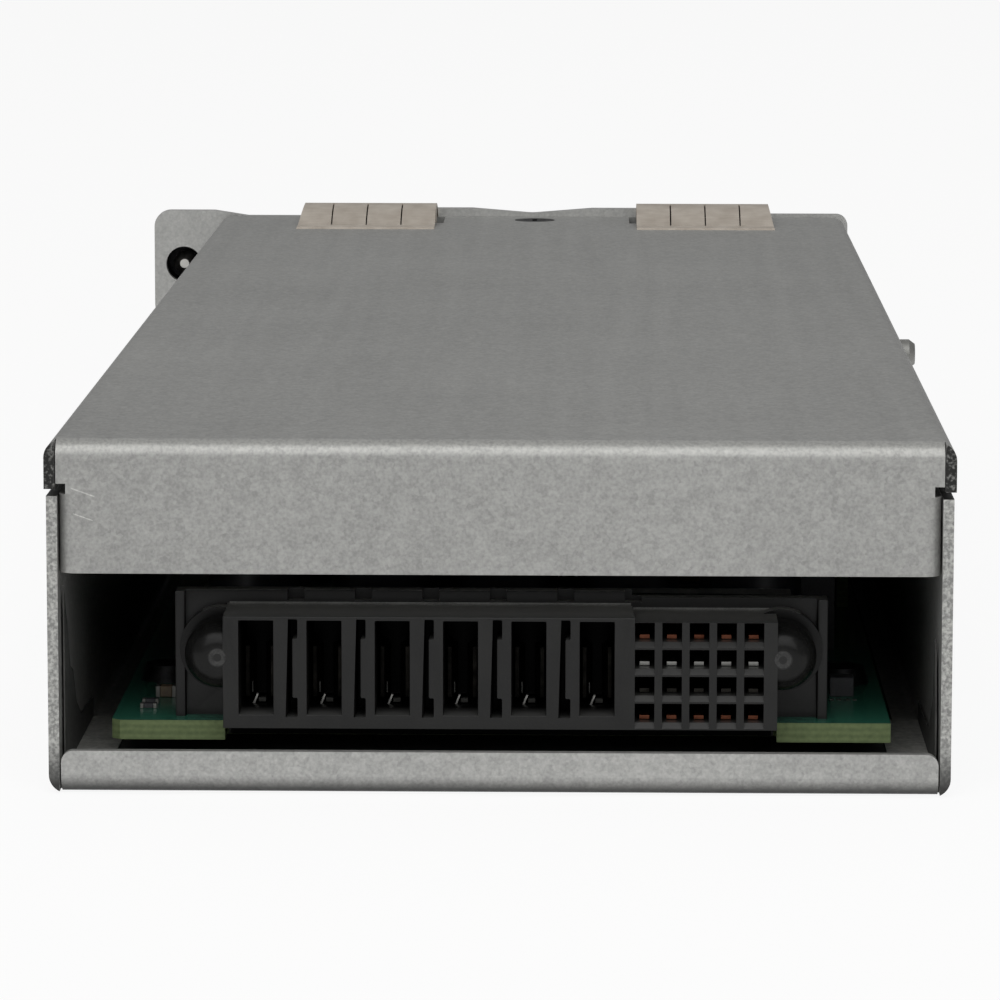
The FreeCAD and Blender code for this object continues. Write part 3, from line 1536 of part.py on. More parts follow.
def fuse():
    """Cartridge fuse lying across two clips on the board."""
    z = board_top + fuse_lift
    half = fuse_length / 2
    tube_part = rod((fuse_x, fuse_y - half, z), "y", fuse_radius - 0.2, fuse_length)
    caps = [rod((fuse_x, fuse_y - half, z), "y", fuse_radius, fuse_cap),
            rod((fuse_x, fuse_y + half - fuse_cap, z), "y", fuse_radius, fuse_cap)]
    return fused([tube_part] + caps)


def fuse_clips():
    """Sprung clips that hold the fuse by its caps."""
    z = board_top + fuse_lift
    clips = []
    for end in (-1, 1):
        middle = fuse_y + end * (fuse_length - fuse_cap) / 2
        y = middle - fuse_cap / 2 + 0.6
        bore = fuse_radius + pin_clearance
        ring = tube((fuse_x, y, z), "y", bore + fuse_clip, bore, fuse_cap - 1.2)
        mouth = block((fuse_x - fuse_radius * 0.7, fuse_x + fuse_radius * 0.7), (y - 1, y + fuse_cap),
                      (z, z + 2 * fuse_radius))
        foot = block((fuse_x - 1.2, fuse_x + 1.2), (y, y + fuse_cap - 1.2), (board_top, z - bore))
        clips.append(fused([ring.cut(mouth), foot]))
    return group(clips)


def bypass_relay():
    """Inrush bypass relay."""
    x = relay_x
    y = front - relay_from_front
    width, depth, height = relay_size
    face = rectangle("xy", (x - width / 2, x + width / 2), (y - depth / 2, y + depth / 2), 0.8)
    return extrude(face, "xy", board_top, board_top + height)


def control_board():
    """Upright control board plugged into the main board."""
    return block((control_x, control_x + control_thickness), control_y, (board_top, control_top))


def control_chips():
    """Chips on the inner face of the control board."""
    chips = []
    for distance, z, size in chips_on_board:
        y = control_y[0] + distance
        chips.append(block((control_x - chip_thickness, control_x), (y - size / 2, y + size / 2),
                           (z - size / 2, z + size / 2)))
    return group(chips)


def output_busbars():
    """Bent copper bars from the transformer's side to the docking connector."""
    start = dock_back + busbar_gap
    low = board_top
    high = low + busbar_rise
    path = [(start, low), (start, high), (start + busbar_span, high), (start + busbar_span, low)]
    bars = []
    half = busbar_width / 2
    for pitches in (0.5, 2.5, 4.5):
        x = power_first + pitches * power_pitch
        bars.append(bent_sheet("yz", path, -busbar_thickness, 0.2, x - half, x + half))
    return group(bars)


def input_wires():
    """Three insulated wires from the inlet's tabs down to the board."""
    back = panel_front - inlet_body_depth - inlet_tab_length
    wires = []
    for x, z in inlet_pin_centres():
        points = [Vector(x, back, z), Vector(x, board_front - wire_landing, z),
                  Vector(x, board_front - wire_landing, board_top)]
        wires.append(bent_rod(points, wire_bend, wire_radius))
    return group(wires)


def fan_lead():
    """Two thin wires from the fan's hub to the board."""
    wires = []
    height = fan_z - fan_hub_radius + lead_wire_radius
    bend = min(wire_bend, height - board_top - touch_gap)
    for offset in (-lead_wire_radius - touch_gap, lead_wire_radius + touch_gap):
        x = fan_x + offset
        points = [Vector(x, fan_rear, height), Vector(x, board_front - wire_landing, height),
                  Vector(x, board_front - wire_landing, board_top)]
        wires.append(bent_rod(points, bend, lead_wire_radius))
    return group(wires)


NODES = {
    "chassis_tray": chassis_tray,
    "top_cover": top_cover,
    "cover_keepers": cover_keepers,
    "cover_rivets": cover_rivets,
    "keying_stud": keying_stud,
    "cover_screw_bracket": cover_screw_bracket,
    "cover_front_screw": cover_front_screw,
    "front_panel": front_panel,
    "front_panel_rivets": front_panel_rivets,
    "status_light_pipes": status_light_pipes,
    "emi_finger_strip_right": lambda: emi_finger_strip(1),
    "emi_finger_strip_left": lambda: emi_finger_strip(-1),
    "fan_grille": fan_grille,
    "fan_frame": fan_frame,
    "fan_bearing": fan_bearing,
    "fan_stator": fan_stator,
    "fan_rotor": fan_rotor,
    "fan_shaft": fan_shaft,
    "fan_screws": fan_screws,
    "handle_bail": handle_bail,
    "handle_lug_left": handle_lug_left,
    "handle_lug_right": handle_lug_right,
    "thumbscrew_ferrule": thumbscrew_ferrule,
    "thumbscrew": thumbscrew,
    "thumbscrew_washer": thumbscrew_washer,
    "thumbscrew_spring": thumbscrew_spring,
    "ac_inlet_body": ac_inlet_body,
    "ac_inlet_pins": ac_inlet_pins,
    "main_board": main_board,
    "board_standoffs": board_standoffs,
    "board_screws": board_screws,
    "insulator_sheet": insulator_sheet,
    "docking_connector_housing": docking_connector_housing,
    "power_contacts": power_contacts,
    "power_tails": power_tails,
    "signal_contacts": signal_contacts,
    "secondary_heatsink": secondary_heatsink,
    "primary_heatsink": primary_heatsink,
    "rectifier_transistors": rectifier_transistors,
    "primary_transistors": primary_transistors,
    "transformer_core": transformer_core,
    "transformer_winding": transformer_winding,
    "bulk_capacitors": bulk_capacitors,
    "output_capacitors": output_capacitors,
    "boost_choke_core": boost_choke_core,
    "boost_choke_winding": boost_choke_winding,
    "common_mode_core": common_mode_core,
    "common_mode_windings": common_mode_windings,
    "film_capacitors": film_capacitors,
    "fuse": fuse,
    "fuse_clips": fuse_clips,
    "bypass_relay": bypass_relay,
    "control_board": control_board,
    "control_chips": control_chips,
    "output_busbars": output_busbars,
    "input_wires": input_wires,
    "fan_lead": fan_lead,
}

os.makedirs("parts", exist_ok=True)
for node, build in NODES.items():
    shape = build()
    print(node, shape.isValid(), len(shape.Solids), round(shape.Volume, 2))
    shape.exportStep("parts/" + node + ".step")
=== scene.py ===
import json
import math

import bmesh
import bpy
from mathutils import Matrix, Vector


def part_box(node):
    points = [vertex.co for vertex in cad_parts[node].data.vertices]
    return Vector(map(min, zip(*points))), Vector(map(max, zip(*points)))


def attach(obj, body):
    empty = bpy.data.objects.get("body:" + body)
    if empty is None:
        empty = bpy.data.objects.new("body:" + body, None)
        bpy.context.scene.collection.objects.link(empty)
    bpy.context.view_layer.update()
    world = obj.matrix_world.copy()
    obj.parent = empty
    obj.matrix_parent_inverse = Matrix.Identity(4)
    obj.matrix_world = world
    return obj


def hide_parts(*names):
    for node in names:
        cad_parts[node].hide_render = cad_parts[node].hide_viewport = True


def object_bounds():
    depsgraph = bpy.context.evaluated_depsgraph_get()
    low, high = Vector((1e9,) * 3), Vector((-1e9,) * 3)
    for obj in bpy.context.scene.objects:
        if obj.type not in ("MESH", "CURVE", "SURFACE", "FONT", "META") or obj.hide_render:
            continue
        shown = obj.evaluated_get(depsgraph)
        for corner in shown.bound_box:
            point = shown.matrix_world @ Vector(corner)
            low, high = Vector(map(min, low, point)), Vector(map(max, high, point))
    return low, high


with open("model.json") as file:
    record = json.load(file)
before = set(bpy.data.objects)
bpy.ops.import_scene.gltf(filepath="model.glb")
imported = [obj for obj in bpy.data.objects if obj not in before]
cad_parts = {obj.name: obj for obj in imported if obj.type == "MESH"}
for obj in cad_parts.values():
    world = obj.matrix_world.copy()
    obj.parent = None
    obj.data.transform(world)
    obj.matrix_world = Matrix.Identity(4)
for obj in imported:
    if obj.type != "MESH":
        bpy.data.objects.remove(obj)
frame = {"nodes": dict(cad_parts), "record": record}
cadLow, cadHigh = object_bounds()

mm = 0.001
nodes = frame["nodes"]
trayLow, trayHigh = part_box("chassis_tray")
boardLow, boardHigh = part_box("main_board")
dockLow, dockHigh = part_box("docking_connector_housing")
rearFace = trayLow.y
print("frame loaded:", len(nodes), "nodes")


# Small helpers: colour and shader nodes
def linearColour(hexText):
    parts = [int(hexText[start:start + 2], 16) / 255 for start in (1, 3, 5)]
    return [part / 12.92 if part <= 0.04045 else ((part + 0.055) / 1.055) ** 2.4 for part in parts] + [1.0]


def addNode(tree, kind, settings=None, links=None):
    node = tree.nodes.new(kind)
    for name, value in (settings or {}).items():
        if isinstance(name, int) or name in node.inputs:
            node.inputs[name].default_value = value
        else:
            setattr(node, name, value)
    for name, source in (links or {}).items():
        tree.links.new(source, node.inputs[name])
    return node


def startMaterial(name):
    material = bpy.data.materials.new(name)
    material.use_nodes = True
    tree = material.node_tree
    shader = tree.nodes["Principled BSDF"]
    place = addNode(tree, "ShaderNodeTexCoord").outputs["Object"]
    return material, tree, shader, place


def joinShader(tree, shader, sources):
    for name, source in sources.items():
        tree.links.new(source, shader.inputs[name])


def blendColours(tree, share, first, second):
    mixed = addNode(tree, "ShaderNodeMix", {"data_type": "RGBA"}, {0: share})
    for socket, colour in ((6, first), (7, second)):  # the two colour sockets of the mix
        if isinstance(colour, str):
            mixed.inputs[socket].default_value = linearColour(colour)
        else:
            tree.links.new(colour, mixed.inputs[socket])
    return mixed.outputs[2]


def addMath(tree, operation, *values):
    node = addNode(tree, "ShaderNodeMath", {"operation": operation})
    for index, value in enumerate(values):
        if isinstance(value, (int, float)):
            node.inputs[index].default_value = value
        else:
            tree.links.new(value, node.inputs[index])
    return node.outputs[0]


def addRamp(tree, value, start=0.0, end=1.0, low=0.0, high=1.0):
    ramp = {"From Min": start, "From Max": end, "To Min": low, "To Max": high}
    return addNode(tree, "ShaderNodeMapRange", ramp, {"Value": value}).outputs[0]


def addNoise(tree, place, scale, detail):
    settings = {"Scale": scale, "Detail": detail}
    return addNode(tree, "ShaderNodeTexNoise", settings, {"Vector": place}).outputs[0]


def addBump(tree, height, strength, depthMm, invert=False):
    settings = {"Strength": strength, "Distance": depthMm * mm, "invert": invert}
    return addNode(tree, "ShaderNodeBump", settings, {"Height": height}).outputs[0]


def splitAxes(tree, vector):
    return addNode(tree, "ShaderNodeSeparateXYZ", links={0: vector}).outputs


def facing(tree):
    return splitAxes(tree, tree.nodes["Texture Coordinate"].outputs["Normal"])


# Small helpers: meshes
def mergedCopy(nodeName, distance=0.001 * mm):
    bm = bmesh.new()
    bm.from_mesh(nodes[nodeName].data)
    bmesh.ops.remove_doubles(bm, verts=bm.verts, dist=distance)
    return bm


def addBox(bm, centre, size):
    made = bmesh.ops.create_cube(bm, size=1.0)
    bmesh.ops.scale(bm, verts=made["verts"], vec=size)
    bmesh.ops.translate(bm, verts=made["verts"], vec=centre)
    return made["verts"]


def breakEdges(bm, edges, radius, segments, clamp=False):
    bmesh.ops.bevel(bm, geom=edges, offset=radius, offset_type="OFFSET", affect="EDGES", segments=segments,
                    profile=0.5, material=-1, clamp_overlap=clamp)


def cleanEdges(bm, sharpAngle=28):
    for face in bm.faces:
        face.smooth = True
    for edge in bm.edges:
        edge.smooth = edge.is_manifold and edge.calc_face_angle(0) < math.radians(sharpAngle)


def finishPiece(name, bm, material):
    cleanEdges(bm)
    mesh = bpy.data.meshes.new(name)
    bm.to_mesh(mesh)
    bm.free()
    mesh.materials.append(material)
    piece = bpy.data.objects.new(name, mesh)
    bpy.context.scene.collection.objects.link(piece)
    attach(piece, "case")
    return piece


# Sheet steel
# Galvanised sheet: hot dipped zinc, skin-passed, so it is a dull grey with a fine bright and dark grain
# and faint marks along the rolling direction. The rounded bends at the rear get a patchy painted highlight.
galvanisedLook = {
    "dark": "#8E8E8C", "light": "#B0B0AD", "grainMm": 0.62, "fineMm": 0.30, "cloudMm": 30.0,
    "streakMm": 2.2, "streakLengthMm": 90.0, "grainShare": 0.34, "broadShare": 0.35, "spread": (0.65, 1.40),
    "bendHighlightColour": "#B4B4B0", "bendHighlightFacing": (-0.18, -0.50), "bendHighlightSpots": (0.42, 0.60), "bendHighlightLeast": 0.4,
    "rough": (0.42, 0.54), "bump": 0.06, "bumpMm": 0.02, "metallic": 0.55,
    "edge": None, "underside": None, "seamShade": None,
}
# The face plate is cold rolled, zinc plated after punching: lighter, finer and smoother than the case.
platedPlateLook = dict(galvanisedLook, dark="#A2A2A0", light="#BABAB7", grainMm=0.6, rough=(0.38, 0.50))
# The blanks are sheared: the cover's edge is torn and dark, the tray's is bright from the cut.
tornEdge = {"from": 40.95 * mm, "dark": "#252524", "light": "#8E8E8B", "spotMm": 0.30,
            "spread": (0.50, 0.78), "lowEndShade": None}
# The tray's cut edge is painted darker towards its bottom end: painted shade near the floor.
cutEdge = {"from": 40.75 * mm, "dark": "#878785", "light": "#BEBEBA", "spotMm": 0.30,
           "spread": (0.38, 0.66), "lowEndShade": {"colour": "#3A3A39", "from": 5.0 * mm, "to": 0.8 * mm}}
coverLook = dict(galvanisedLook, edge=tornEdge)
# The tray's lip is painted darker towards its lower face, and the walls' tops are painted dark in the seam
# under the cover: both are painted shade.
trayLook = dict(galvanisedLook, dark="#999997", light="#BEBEBB", edge=cutEdge,
                underside={"colour": "#131312", "from": -0.02, "to": -0.85},
                seamShade={"colour": "#161615", "from": 27.5 * mm})
scratchLook = {"colour": "#DADAD6", "turn": math.radians(19.5), "depth": 1.0 * mm}
coverScratches = [  # two bright scratches at the left end of the rear fascia
    {"middle": (-38.4 * mm, rearFace, 28.2 * mm), "length": 2.3 * mm, "width": 0.11 * mm},
    {"middle": (-38.4 * mm, rearFace, 25.9 * mm), "length": 1.9 * mm, "width": 0.10 * mm},
]
level = 0.9  # a face whose normal passes this along an axis counts as square to it


def scratched(tree, place, fine, colour, scratch):
    turned = addNode(tree, "ShaderNodeMapping", {"vector_type": "TEXTURE", "Location": scratch["middle"],
                                                 "Rotation": (0, scratchLook["turn"], 0)}, {"Vector": place})
    split = splitAxes(tree, turned.outputs[0])
    halves = (("X", scratch["length"] / 2), ("Z", scratch["width"] / 2), ("Y", scratchLook["depth"]))
    worn = fine
    for axis, half in halves:
        inside = addMath(tree, "LESS_THAN", addMath(tree, "ABSOLUTE", split[axis]), half)
        worn = addMath(tree, "MULTIPLY", worn, inside)
    return blendColours(tree, worn, colour, scratchLook["colour"])


def sheared(tree, place, normal, colour, edge):
    split = splitAxes(tree, place)
    beyond = addMath(tree, "GREATER_THAN", addMath(tree, "ABSOLUTE", split["X"]), edge["from"])
    rearwards = addMath(tree, "LESS_THAN", normal["Y"], -level)
    spots = addNoise(tree, place, 1 / (edge["spotMm"] * mm), detail=3.0)
    torn = blendColours(tree, addRamp(tree, spots, *edge["spread"]), edge["dark"], edge["light"])
    # Painted shade towards the edge's bottom end.
    if edge["lowEndShade"]:
        low = addRamp(tree, split["Z"], edge["lowEndShade"]["from"], edge["lowEndShade"]["to"])
        torn = blendColours(tree, low, torn, edge["lowEndShade"]["colour"])
    return blendColours(tree, addMath(tree, "MULTIPLY", beyond, rearwards), colour, torn)


def sheetSteel(name, look, scratches=()):
    material, tree, shader, place = startMaterial(name)
    grain = addNode(tree, "ShaderNodeTexVoronoi", {"Scale": 1 / (look["grainMm"] * mm), "Randomness": 1.0},
                    {"Vector": place})
    fine = addNoise(tree, place, 1 / (look["fineMm"] * mm), detail=2.0)
    cloud = addNoise(tree, place, 1 / (look["cloudMm"] * mm), detail=3.0)
    across = 1 / (look["streakMm"] * mm)
    along = 1 / (look["streakLengthMm"] * mm)
    stretched = addNode(tree, "ShaderNodeMapping", {"Scale": (across, along, across)}, {"Vector": place})
    streak = addNoise(tree, stretched.outputs[0], 1.0, detail=4.0)
    grey = addNode(tree, "ShaderNodeRGBToBW", links={"Color": grain.outputs["Color"]})
    mottled = addMath(tree, "MULTIPLY_ADD", grey.outputs[0], look["grainShare"], fine)
    broad = addMath(tree, "ADD", cloud, streak)
    shade = addMath(tree, "MULTIPLY_ADD", broad, look["broadShare"], mottled)
    colour = blendColours(tree, addRamp(tree, shade, *look["spread"]), look["dark"], look["light"])
    for scratch in scratches:
        colour = scratched(tree, place, fine, colour, scratch)
    normal = facing(tree)
    # Painted highlight on the rear bends, patchy with the fine grain.
    bendHighlightShare = addRamp(tree, addMath(tree, "MULTIPLY", normal["Y"], normal["Z"]), *look["bendHighlightFacing"])
    spots = addRamp(tree, fine, *look["bendHighlightSpots"])
    patchyHighlight = addMath(tree, "MULTIPLY_ADD", spots, 1 - look["bendHighlightLeast"], look["bendHighlightLeast"])
    colour = blendColours(tree, addMath(tree, "MULTIPLY", bendHighlightShare, patchyHighlight), colour, look["bendHighlightColour"])
    # Painted shade on the faces that turn downwards.
    if look["underside"]:
        shadeBelow = addRamp(tree, normal["Z"], look["underside"]["from"], look["underside"]["to"])
        colour = blendColours(tree, shadeBelow, colour, look["underside"]["colour"])
    if look["edge"]:
        colour = sheared(tree, place, normal, colour, look["edge"])
    # Painted shade on the flat tops of the walls, in the seam under the cover.
    if look["seamShade"]:
        high = addMath(tree, "GREATER_THAN", splitAxes(tree, place)["Z"], look["seamShade"]["from"])
        flat = addMath(tree, "GREATER_THAN", normal["Z"], level)
        colour = blendColours(tree, addMath(tree, "MULTIPLY", high, flat), colour, look["seamShade"]["colour"])
    joinShader(tree, shader, {
        "Base Color": colour,
        "Roughness": addRamp(tree, grain.outputs["Distance"], low=look["rough"][0], high=look["rough"][1]),
        "Normal": addBump(tree, mottled, look["bump"], look["bumpMm"]),
    })
    shader.inputs["Metallic"].default_value = look["metallic"]
    return material


# Plated, bare and oxidised metal parts
# Small turned, drawn and stamped parts: a smooth metal, a little uneven from plating, with fine tool lines.
metalLooks = {
    "nickelPlatedSteel": {"dark": "#B5B3AE", "light": "#D6D5D1", "spotMm": 1.6, "lineMm": 0.18,
                          "rough": (0.22, 0.38)},
    "blackOxideSteel": {"dark": "#1E1E1F", "light": "#3A3A3B", "spotMm": 0.8, "lineMm": 0.18,
                        "rough": (0.38, 0.55)},
    "drawnSpringSteel": {"dark": "#8D8E90", "light": "#B7B8BA", "spotMm": 1.2, "lineMm": 0.12,
                         "rough": (0.28, 0.42)},
    "tinnedSpringStrip": {"dark": "#C6BCB0", "light": "#DED6CB", "spotMm": 2.4, "lineMm": 0.20,
                          "rough": (0.46, 0.62)},
    "sinteredBronze": {"dark": "#7A5B38", "light": "#A88452", "spotMm": 0.3, "lineMm": 0.30,
                       "rough": (0.50, 0.70)},
    "stampedCopperAlloy": {"dark": "#5E3526", "light": "#96604A", "spotMm": 1.1, "lineMm": 0.16,
                           "rough": (0.34, 0.50)},
    # The power contacts' plating is painted near black: painted shade deep in the slots.
    "nearBlackContactShade": {"dark": "#1E1D1B", "light": "#413F3B", "spotMm": 0.9, "lineMm": 0.20,
                           "rough": (0.36, 0.50)},
    "nickelPlatedBrass": {"dark": "#B0A88F", "light": "#D8D0B8", "spotMm": 1.5, "lineMm": 0.18,
                          "rough": (0.24, 0.40)},
    "extrudedAluminium": {"dark": "#A9AAAC", "light": "#C9CACC", "spotMm": 3.0, "lineMm": 0.35,
                          "rough": (0.34, 0.48)},
}
toolLines = {"stretch": 12, "share": 0.4, "spread": (0.45, 0.95), "bump": 0.12, "bumpMm": 0.01}


def metalPart(name, look):
    material, tree, shader, place = startMaterial(name)
    spots = addNoise(tree, place, 1 / (look["spotMm"] * mm), detail=3.0)
    fine = 1 / (look["lineMm"] * mm)
    long = fine / toolLines["stretch"]
    stretched = addNode(tree, "ShaderNodeMapping", {"Scale": (long, fine, long)}, {"Vector": place})
    lines = addNoise(tree, stretched.outputs[0], 1.0, detail=2.0)
    both = addMath(tree, "MULTIPLY_ADD", lines, toolLines["share"], spots)
    share = addRamp(tree, both, *toolLines["spread"])
    joinShader(tree, shader, {
        "Base Color": blendColours(tree, share, look["dark"], look["light"]),
        "Roughness": addRamp(tree, both, low=look["rough"][0], high=look["rough"][1]),
        "Normal": addBump(tree, lines, toolLines["bump"], toolLines["bumpMm"]),
    })
    shader.inputs["Metallic"].default_value = 1.0
    return material


# Moulded, sleeved and pressed parts
# Moulded plastic takes the fine spark-eroded grit of its tool: matt, with a slight change of tone.
plainPlastic = {"gloss": 0.5, "paintedTopLight": None, "cavityShade": None}
# Painted light on what faces up: upward faces are lighter, and on top of the connector's nose a painted
# highlight grows from the mouth to the root.
noseTopPaintedLight = {"colour": "#3A3A39", "mouth": "#3C3C3B", "root": "#8F8F8C", "above": 15.75 * mm,
            "from": rearFace + 3.0 * mm, "to": rearFace + 10.0 * mm, "upFrom": 0.35, "upTo": 0.95}
# Painted shade: deep in the slots and cells the plastic is painted near black and its gloss is turned down.
dockCavityShade = {"colour": "#050505", "gloss": 0.04, "from": rearFace + 4.2 * mm, "to": rearFace + 7.5 * mm,
              "end": rearFace + 16.0 * mm, "half": 25.4 * mm, "top": 15.795 * mm}
plasticLooks = {
    "glassFilledPolyester": dict(plainPlastic, dark="#101010", light="#191918", toneMm=4.0, gritMm=0.14,
                                 rough=(0.34, 0.46), bump=0.18, gloss=0.32, paintedTopLight=noseTopPaintedLight,
                                 cavityShade=dockCavityShade),
    "mouldedBlackNylon": dict(plainPlastic, dark="#18181A", light="#262628", toneMm=6.0, gritMm=0.22,
                              rough=(0.42, 0.55), bump=0.30),
    "epoxyMouldedPackage": dict(plainPlastic, dark="#1B1B1C", light="#29292A", toneMm=2.0, gritMm=0.12,
                                rough=(0.52, 0.68), bump=0.35),
    "pressedFerrite": dict(plainPlastic, dark="#2B2B2E", light="#3C3C40", toneMm=3.0, gritMm=0.18,
                           rough=(0.48, 0.62), bump=0.25),
    "filmCapacitorCase": dict(plainPlastic, dark="#B98C1F", light="#D2A535", toneMm=5.0, gritMm=0.25,
                              rough=(0.28, 0.38), bump=0.12),
    "siliconeWire": dict(plainPlastic, dark="#1A1A1C", light="#2A2A2D", toneMm=3.0, gritMm=0.30,
                         rough=(0.36, 0.48), bump=0.10),
    "insulatorFilm": dict(plainPlastic, dark="#343433", light="#4E4E4C", toneMm=2.5, gritMm=0.45,
                          rough=(0.60, 0.78), bump=0.30),
}
gritLook = {"share": 0.35, "spread": (0.40, 0.85), "depthMm": 0.015}


# Painted light: upward faces are lightened, and on the nose's top the painted highlight grows towards the
# root.
def paintTopLight(tree, place, colour, paintedTopLight):
    spot = splitAxes(tree, place)
    up = addRamp(tree, facing(tree)["Z"], paintedTopLight["upFrom"], paintedTopLight["upTo"])
    onNose = addMath(tree, "GREATER_THAN", spot["Z"], paintedTopLight["above"])
    inwards = addRamp(tree, spot["Y"], paintedTopLight["from"], paintedTopLight["to"])
    rootwardHighlight = blendColours(tree, inwards, paintedTopLight["mouth"], paintedTopLight["root"])
    return blendColours(tree, up, colour, blendColours(tree, onNose, paintedTopLight["colour"], rootwardHighlight))


# Painted shade: the share that goes near black deep in the slots and cells.
def deepShadeShare(tree, place, cavityShade):
    spot = splitAxes(tree, place)
    inside = addRamp(tree, spot["Y"], cavityShade["from"], cavityShade["to"])
    for source, limit in ((spot["Y"], cavityShade["end"]), (addMath(tree, "ABSOLUTE", spot["X"]), cavityShade["half"]),
                          (spot["Z"], cavityShade["top"])):
        inside = addMath(tree, "MULTIPLY", inside, addMath(tree, "LESS_THAN", source, limit))
    return inside


def mouldedPart(name, look):
    material, tree, shader, place = startMaterial(name)
    tone = addNoise(tree, place, 1 / (look["toneMm"] * mm), detail=3.0)
    grit = addNode(tree, "ShaderNodeTexVoronoi", {"Scale": 1 / (look["gritMm"] * mm)}, {"Vector": place})
    both = addMath(tree, "MULTIPLY_ADD", grit.outputs["Distance"], gritLook["share"], tone)
    colour = blendColours(tree, addRamp(tree, both, *gritLook["spread"]), look["dark"], look["light"])
    # Painted light on the upward faces.
    if look["paintedTopLight"]:
        colour = paintTopLight(tree, place, colour, look["paintedTopLight"])
    shader.inputs["Specular IOR Level"].default_value = look["gloss"]
    # Painted shade deep in the slots and cells: near-black colour and little gloss.
    if look["cavityShade"]:
        inside = deepShadeShare(tree, place, look["cavityShade"])
        colour = blendColours(tree, inside, colour, look["cavityShade"]["colour"])
        gloss = addRamp(tree, inside, low=look["gloss"], high=look["cavityShade"]["gloss"])
        joinShader(tree, shader, {"Specular IOR Level": gloss})
    joinShader(tree, shader, {
        "Base Color": colour,
        "Roughness": addRamp(tree, tone, low=look["rough"][0], high=look["rough"][1]),
        "Normal": addBump(tree, grit.outputs["Distance"], look["bump"], gritLook["depthMm"]),
    })
    return material


# Circuit boards
# Glass epoxy board: a glossy green mask over copper, with tracks that stand up slightly, and a pale
# yellow-green sawn edge where the layers of glass show.
boardLook = {"mask": "#25594A", "overCopper": "#336C58", "edgeDark": "#4A5838", "edgeLight": "#6E7D53",
             "trackMm": 2.6, "edgeLayerMm": 0.32, "weaveMm": 0.5, "layerShare": 0.35, "rough": (0.24, 0.75),
             "layerWander": 1.2, "edgeBelow": 0.5, "bump": 0.5, "bumpMm": 0.03}
trackPattern = {"offset": 0.5, "Mortar Size": 0.09, "Mortar Smooth": 0.1, "Brick Width": 2.4,
                "Row Height": 0.5}
bandScale = 6.28  # with this factor in its scale, the wave texture repeats at about twice the given width


def glassEpoxyBoard(name, look):
    material, tree, shader, place = startMaterial(name)
    pattern = dict(trackPattern, Scale=1 / (look["trackMm"] * mm))
    tracks = addNode(tree, "ShaderNodeTexBrick", pattern, {"Vector": place}).outputs["Fac"]
    weave = addNoise(tree, place, 1 / (look["weaveMm"] * mm), detail=2.0)
    layered = {"wave_type": "BANDS", "bands_direction": "Z", "Distortion": look["layerWander"],
               "Scale": 1 / (look["edgeLayerMm"] * mm * bandScale)}
    layers = addNode(tree, "ShaderNodeTexWave", layered, {"Vector": place}).outputs["Fac"]
    isEdge = addMath(tree, "LESS_THAN", addMath(tree, "ABSOLUTE", facing(tree)["Z"]), look["edgeBelow"])
    face = blendColours(tree, tracks, look["overCopper"], look["mask"])
    grain = addMath(tree, "MULTIPLY_ADD", layers, look["layerShare"], weave)
    edge = blendColours(tree, grain, look["edgeDark"], look["edgeLight"])
    joinShader(tree, shader, {
        "Base Color": blendColours(tree, isEdge, face, edge),
        "Roughness": addRamp(tree, isEdge, low=look["rough"][0], high=look["rough"][1]),
        "Normal": addBump(tree, tracks, look["bump"], look["bumpMm"], invert=True),
    })
    return material


# Wound parts
# Enamelled copper wire laid side by side round a ring: fine ridges that turn about the ring's middle.
windingLook = {"dark": "#6E3216", "light": "#B8683A", "wireMm": 1.4, "rough": 0.30, "metallic": 0.7,
               "coat": 0.6, "bump": 0.9, "bumpMm": 0.25, "spread": (-1.0, 0.6), "widthPerRadius": 2.6}


def enamelledWinding(nodeName, look):
    material, tree, shader, place = startMaterial("enamelledCopper_" + nodeName)
    low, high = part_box(nodeName)
    centred = addNode(tree, "ShaderNodeMapping", {"vector_type": "TEXTURE", "Location": (low + high) / 2},
                      {"Vector": place})
    angle = addNode(tree, "ShaderNodeTexGradient", {"gradient_type": "RADIAL"},
                    {"Vector": centred.outputs[0]})
    radius = (high.x - low.x) / look["widthPerRadius"]  # of the circle that the wires' middles lie on
    turns = round(2 * math.pi * radius / (look["wireMm"] * mm))
    ridge = addMath(tree, "COSINE", addMath(tree, "MULTIPLY", angle.outputs["Fac"], turns * 2 * math.pi))
    share = addRamp(tree, ridge, *look["spread"])
    joinShader(tree, shader, {
        "Base Color": blendColours(tree, share, look["dark"], look["light"]),
        "Normal": addBump(tree, ridge, look["bump"], look["bumpMm"]),
    })
    shader.inputs["Roughness"].default_value = look["rough"]
    shader.inputs["Metallic"].default_value = look["metallic"]
    shader.inputs["Coat Weight"].default_value = look["coat"]
    return material


# Varnished tape wound flat round the bobbin: glossy brown with an edge line at each layer.
tapeLook = {"dark": "#3A2E12", "light": "#5C4A1E", "bandMm": 3.2, "wander": 0.4, "rough": 0.28,
            "bump": 0.4, "bumpMm": 0.05}


def woundTape(name, look):
    material, tree, shader, place = startMaterial(name)
    banded = {"wave_type": "BANDS", "bands_direction": "Z", "wave_profile": "SAW",
              "Distortion": look["wander"], "Scale": 1 / (look["bandMm"] * mm * bandScale)}
    bands = addNode(tree, "ShaderNodeTexWave", banded, {"Vector": place}).outputs["Fac"]
    joinShader(tree, shader, {
        "Base Color": blendColours(tree, bands, look["light"], look["dark"]),
        "Normal": addBump(tree, bands, look["bump"], look["bumpMm"]),
    })
    shader.inputs["Roughness"].default_value = look["rough"]
    return material


# Capacitors and fuse
# Shrunk vinyl sleeve round an aluminium can: the sleeve is smooth and glossy, the can's top bare.
sleeveLook = {"dark": "#101218", "light": "#181B23", "can": "#A9AAAC", "shrinkMm": 5.0,
              "rough": (0.38, 0.50), "bump": 0.2, "bumpMm": 0.05}


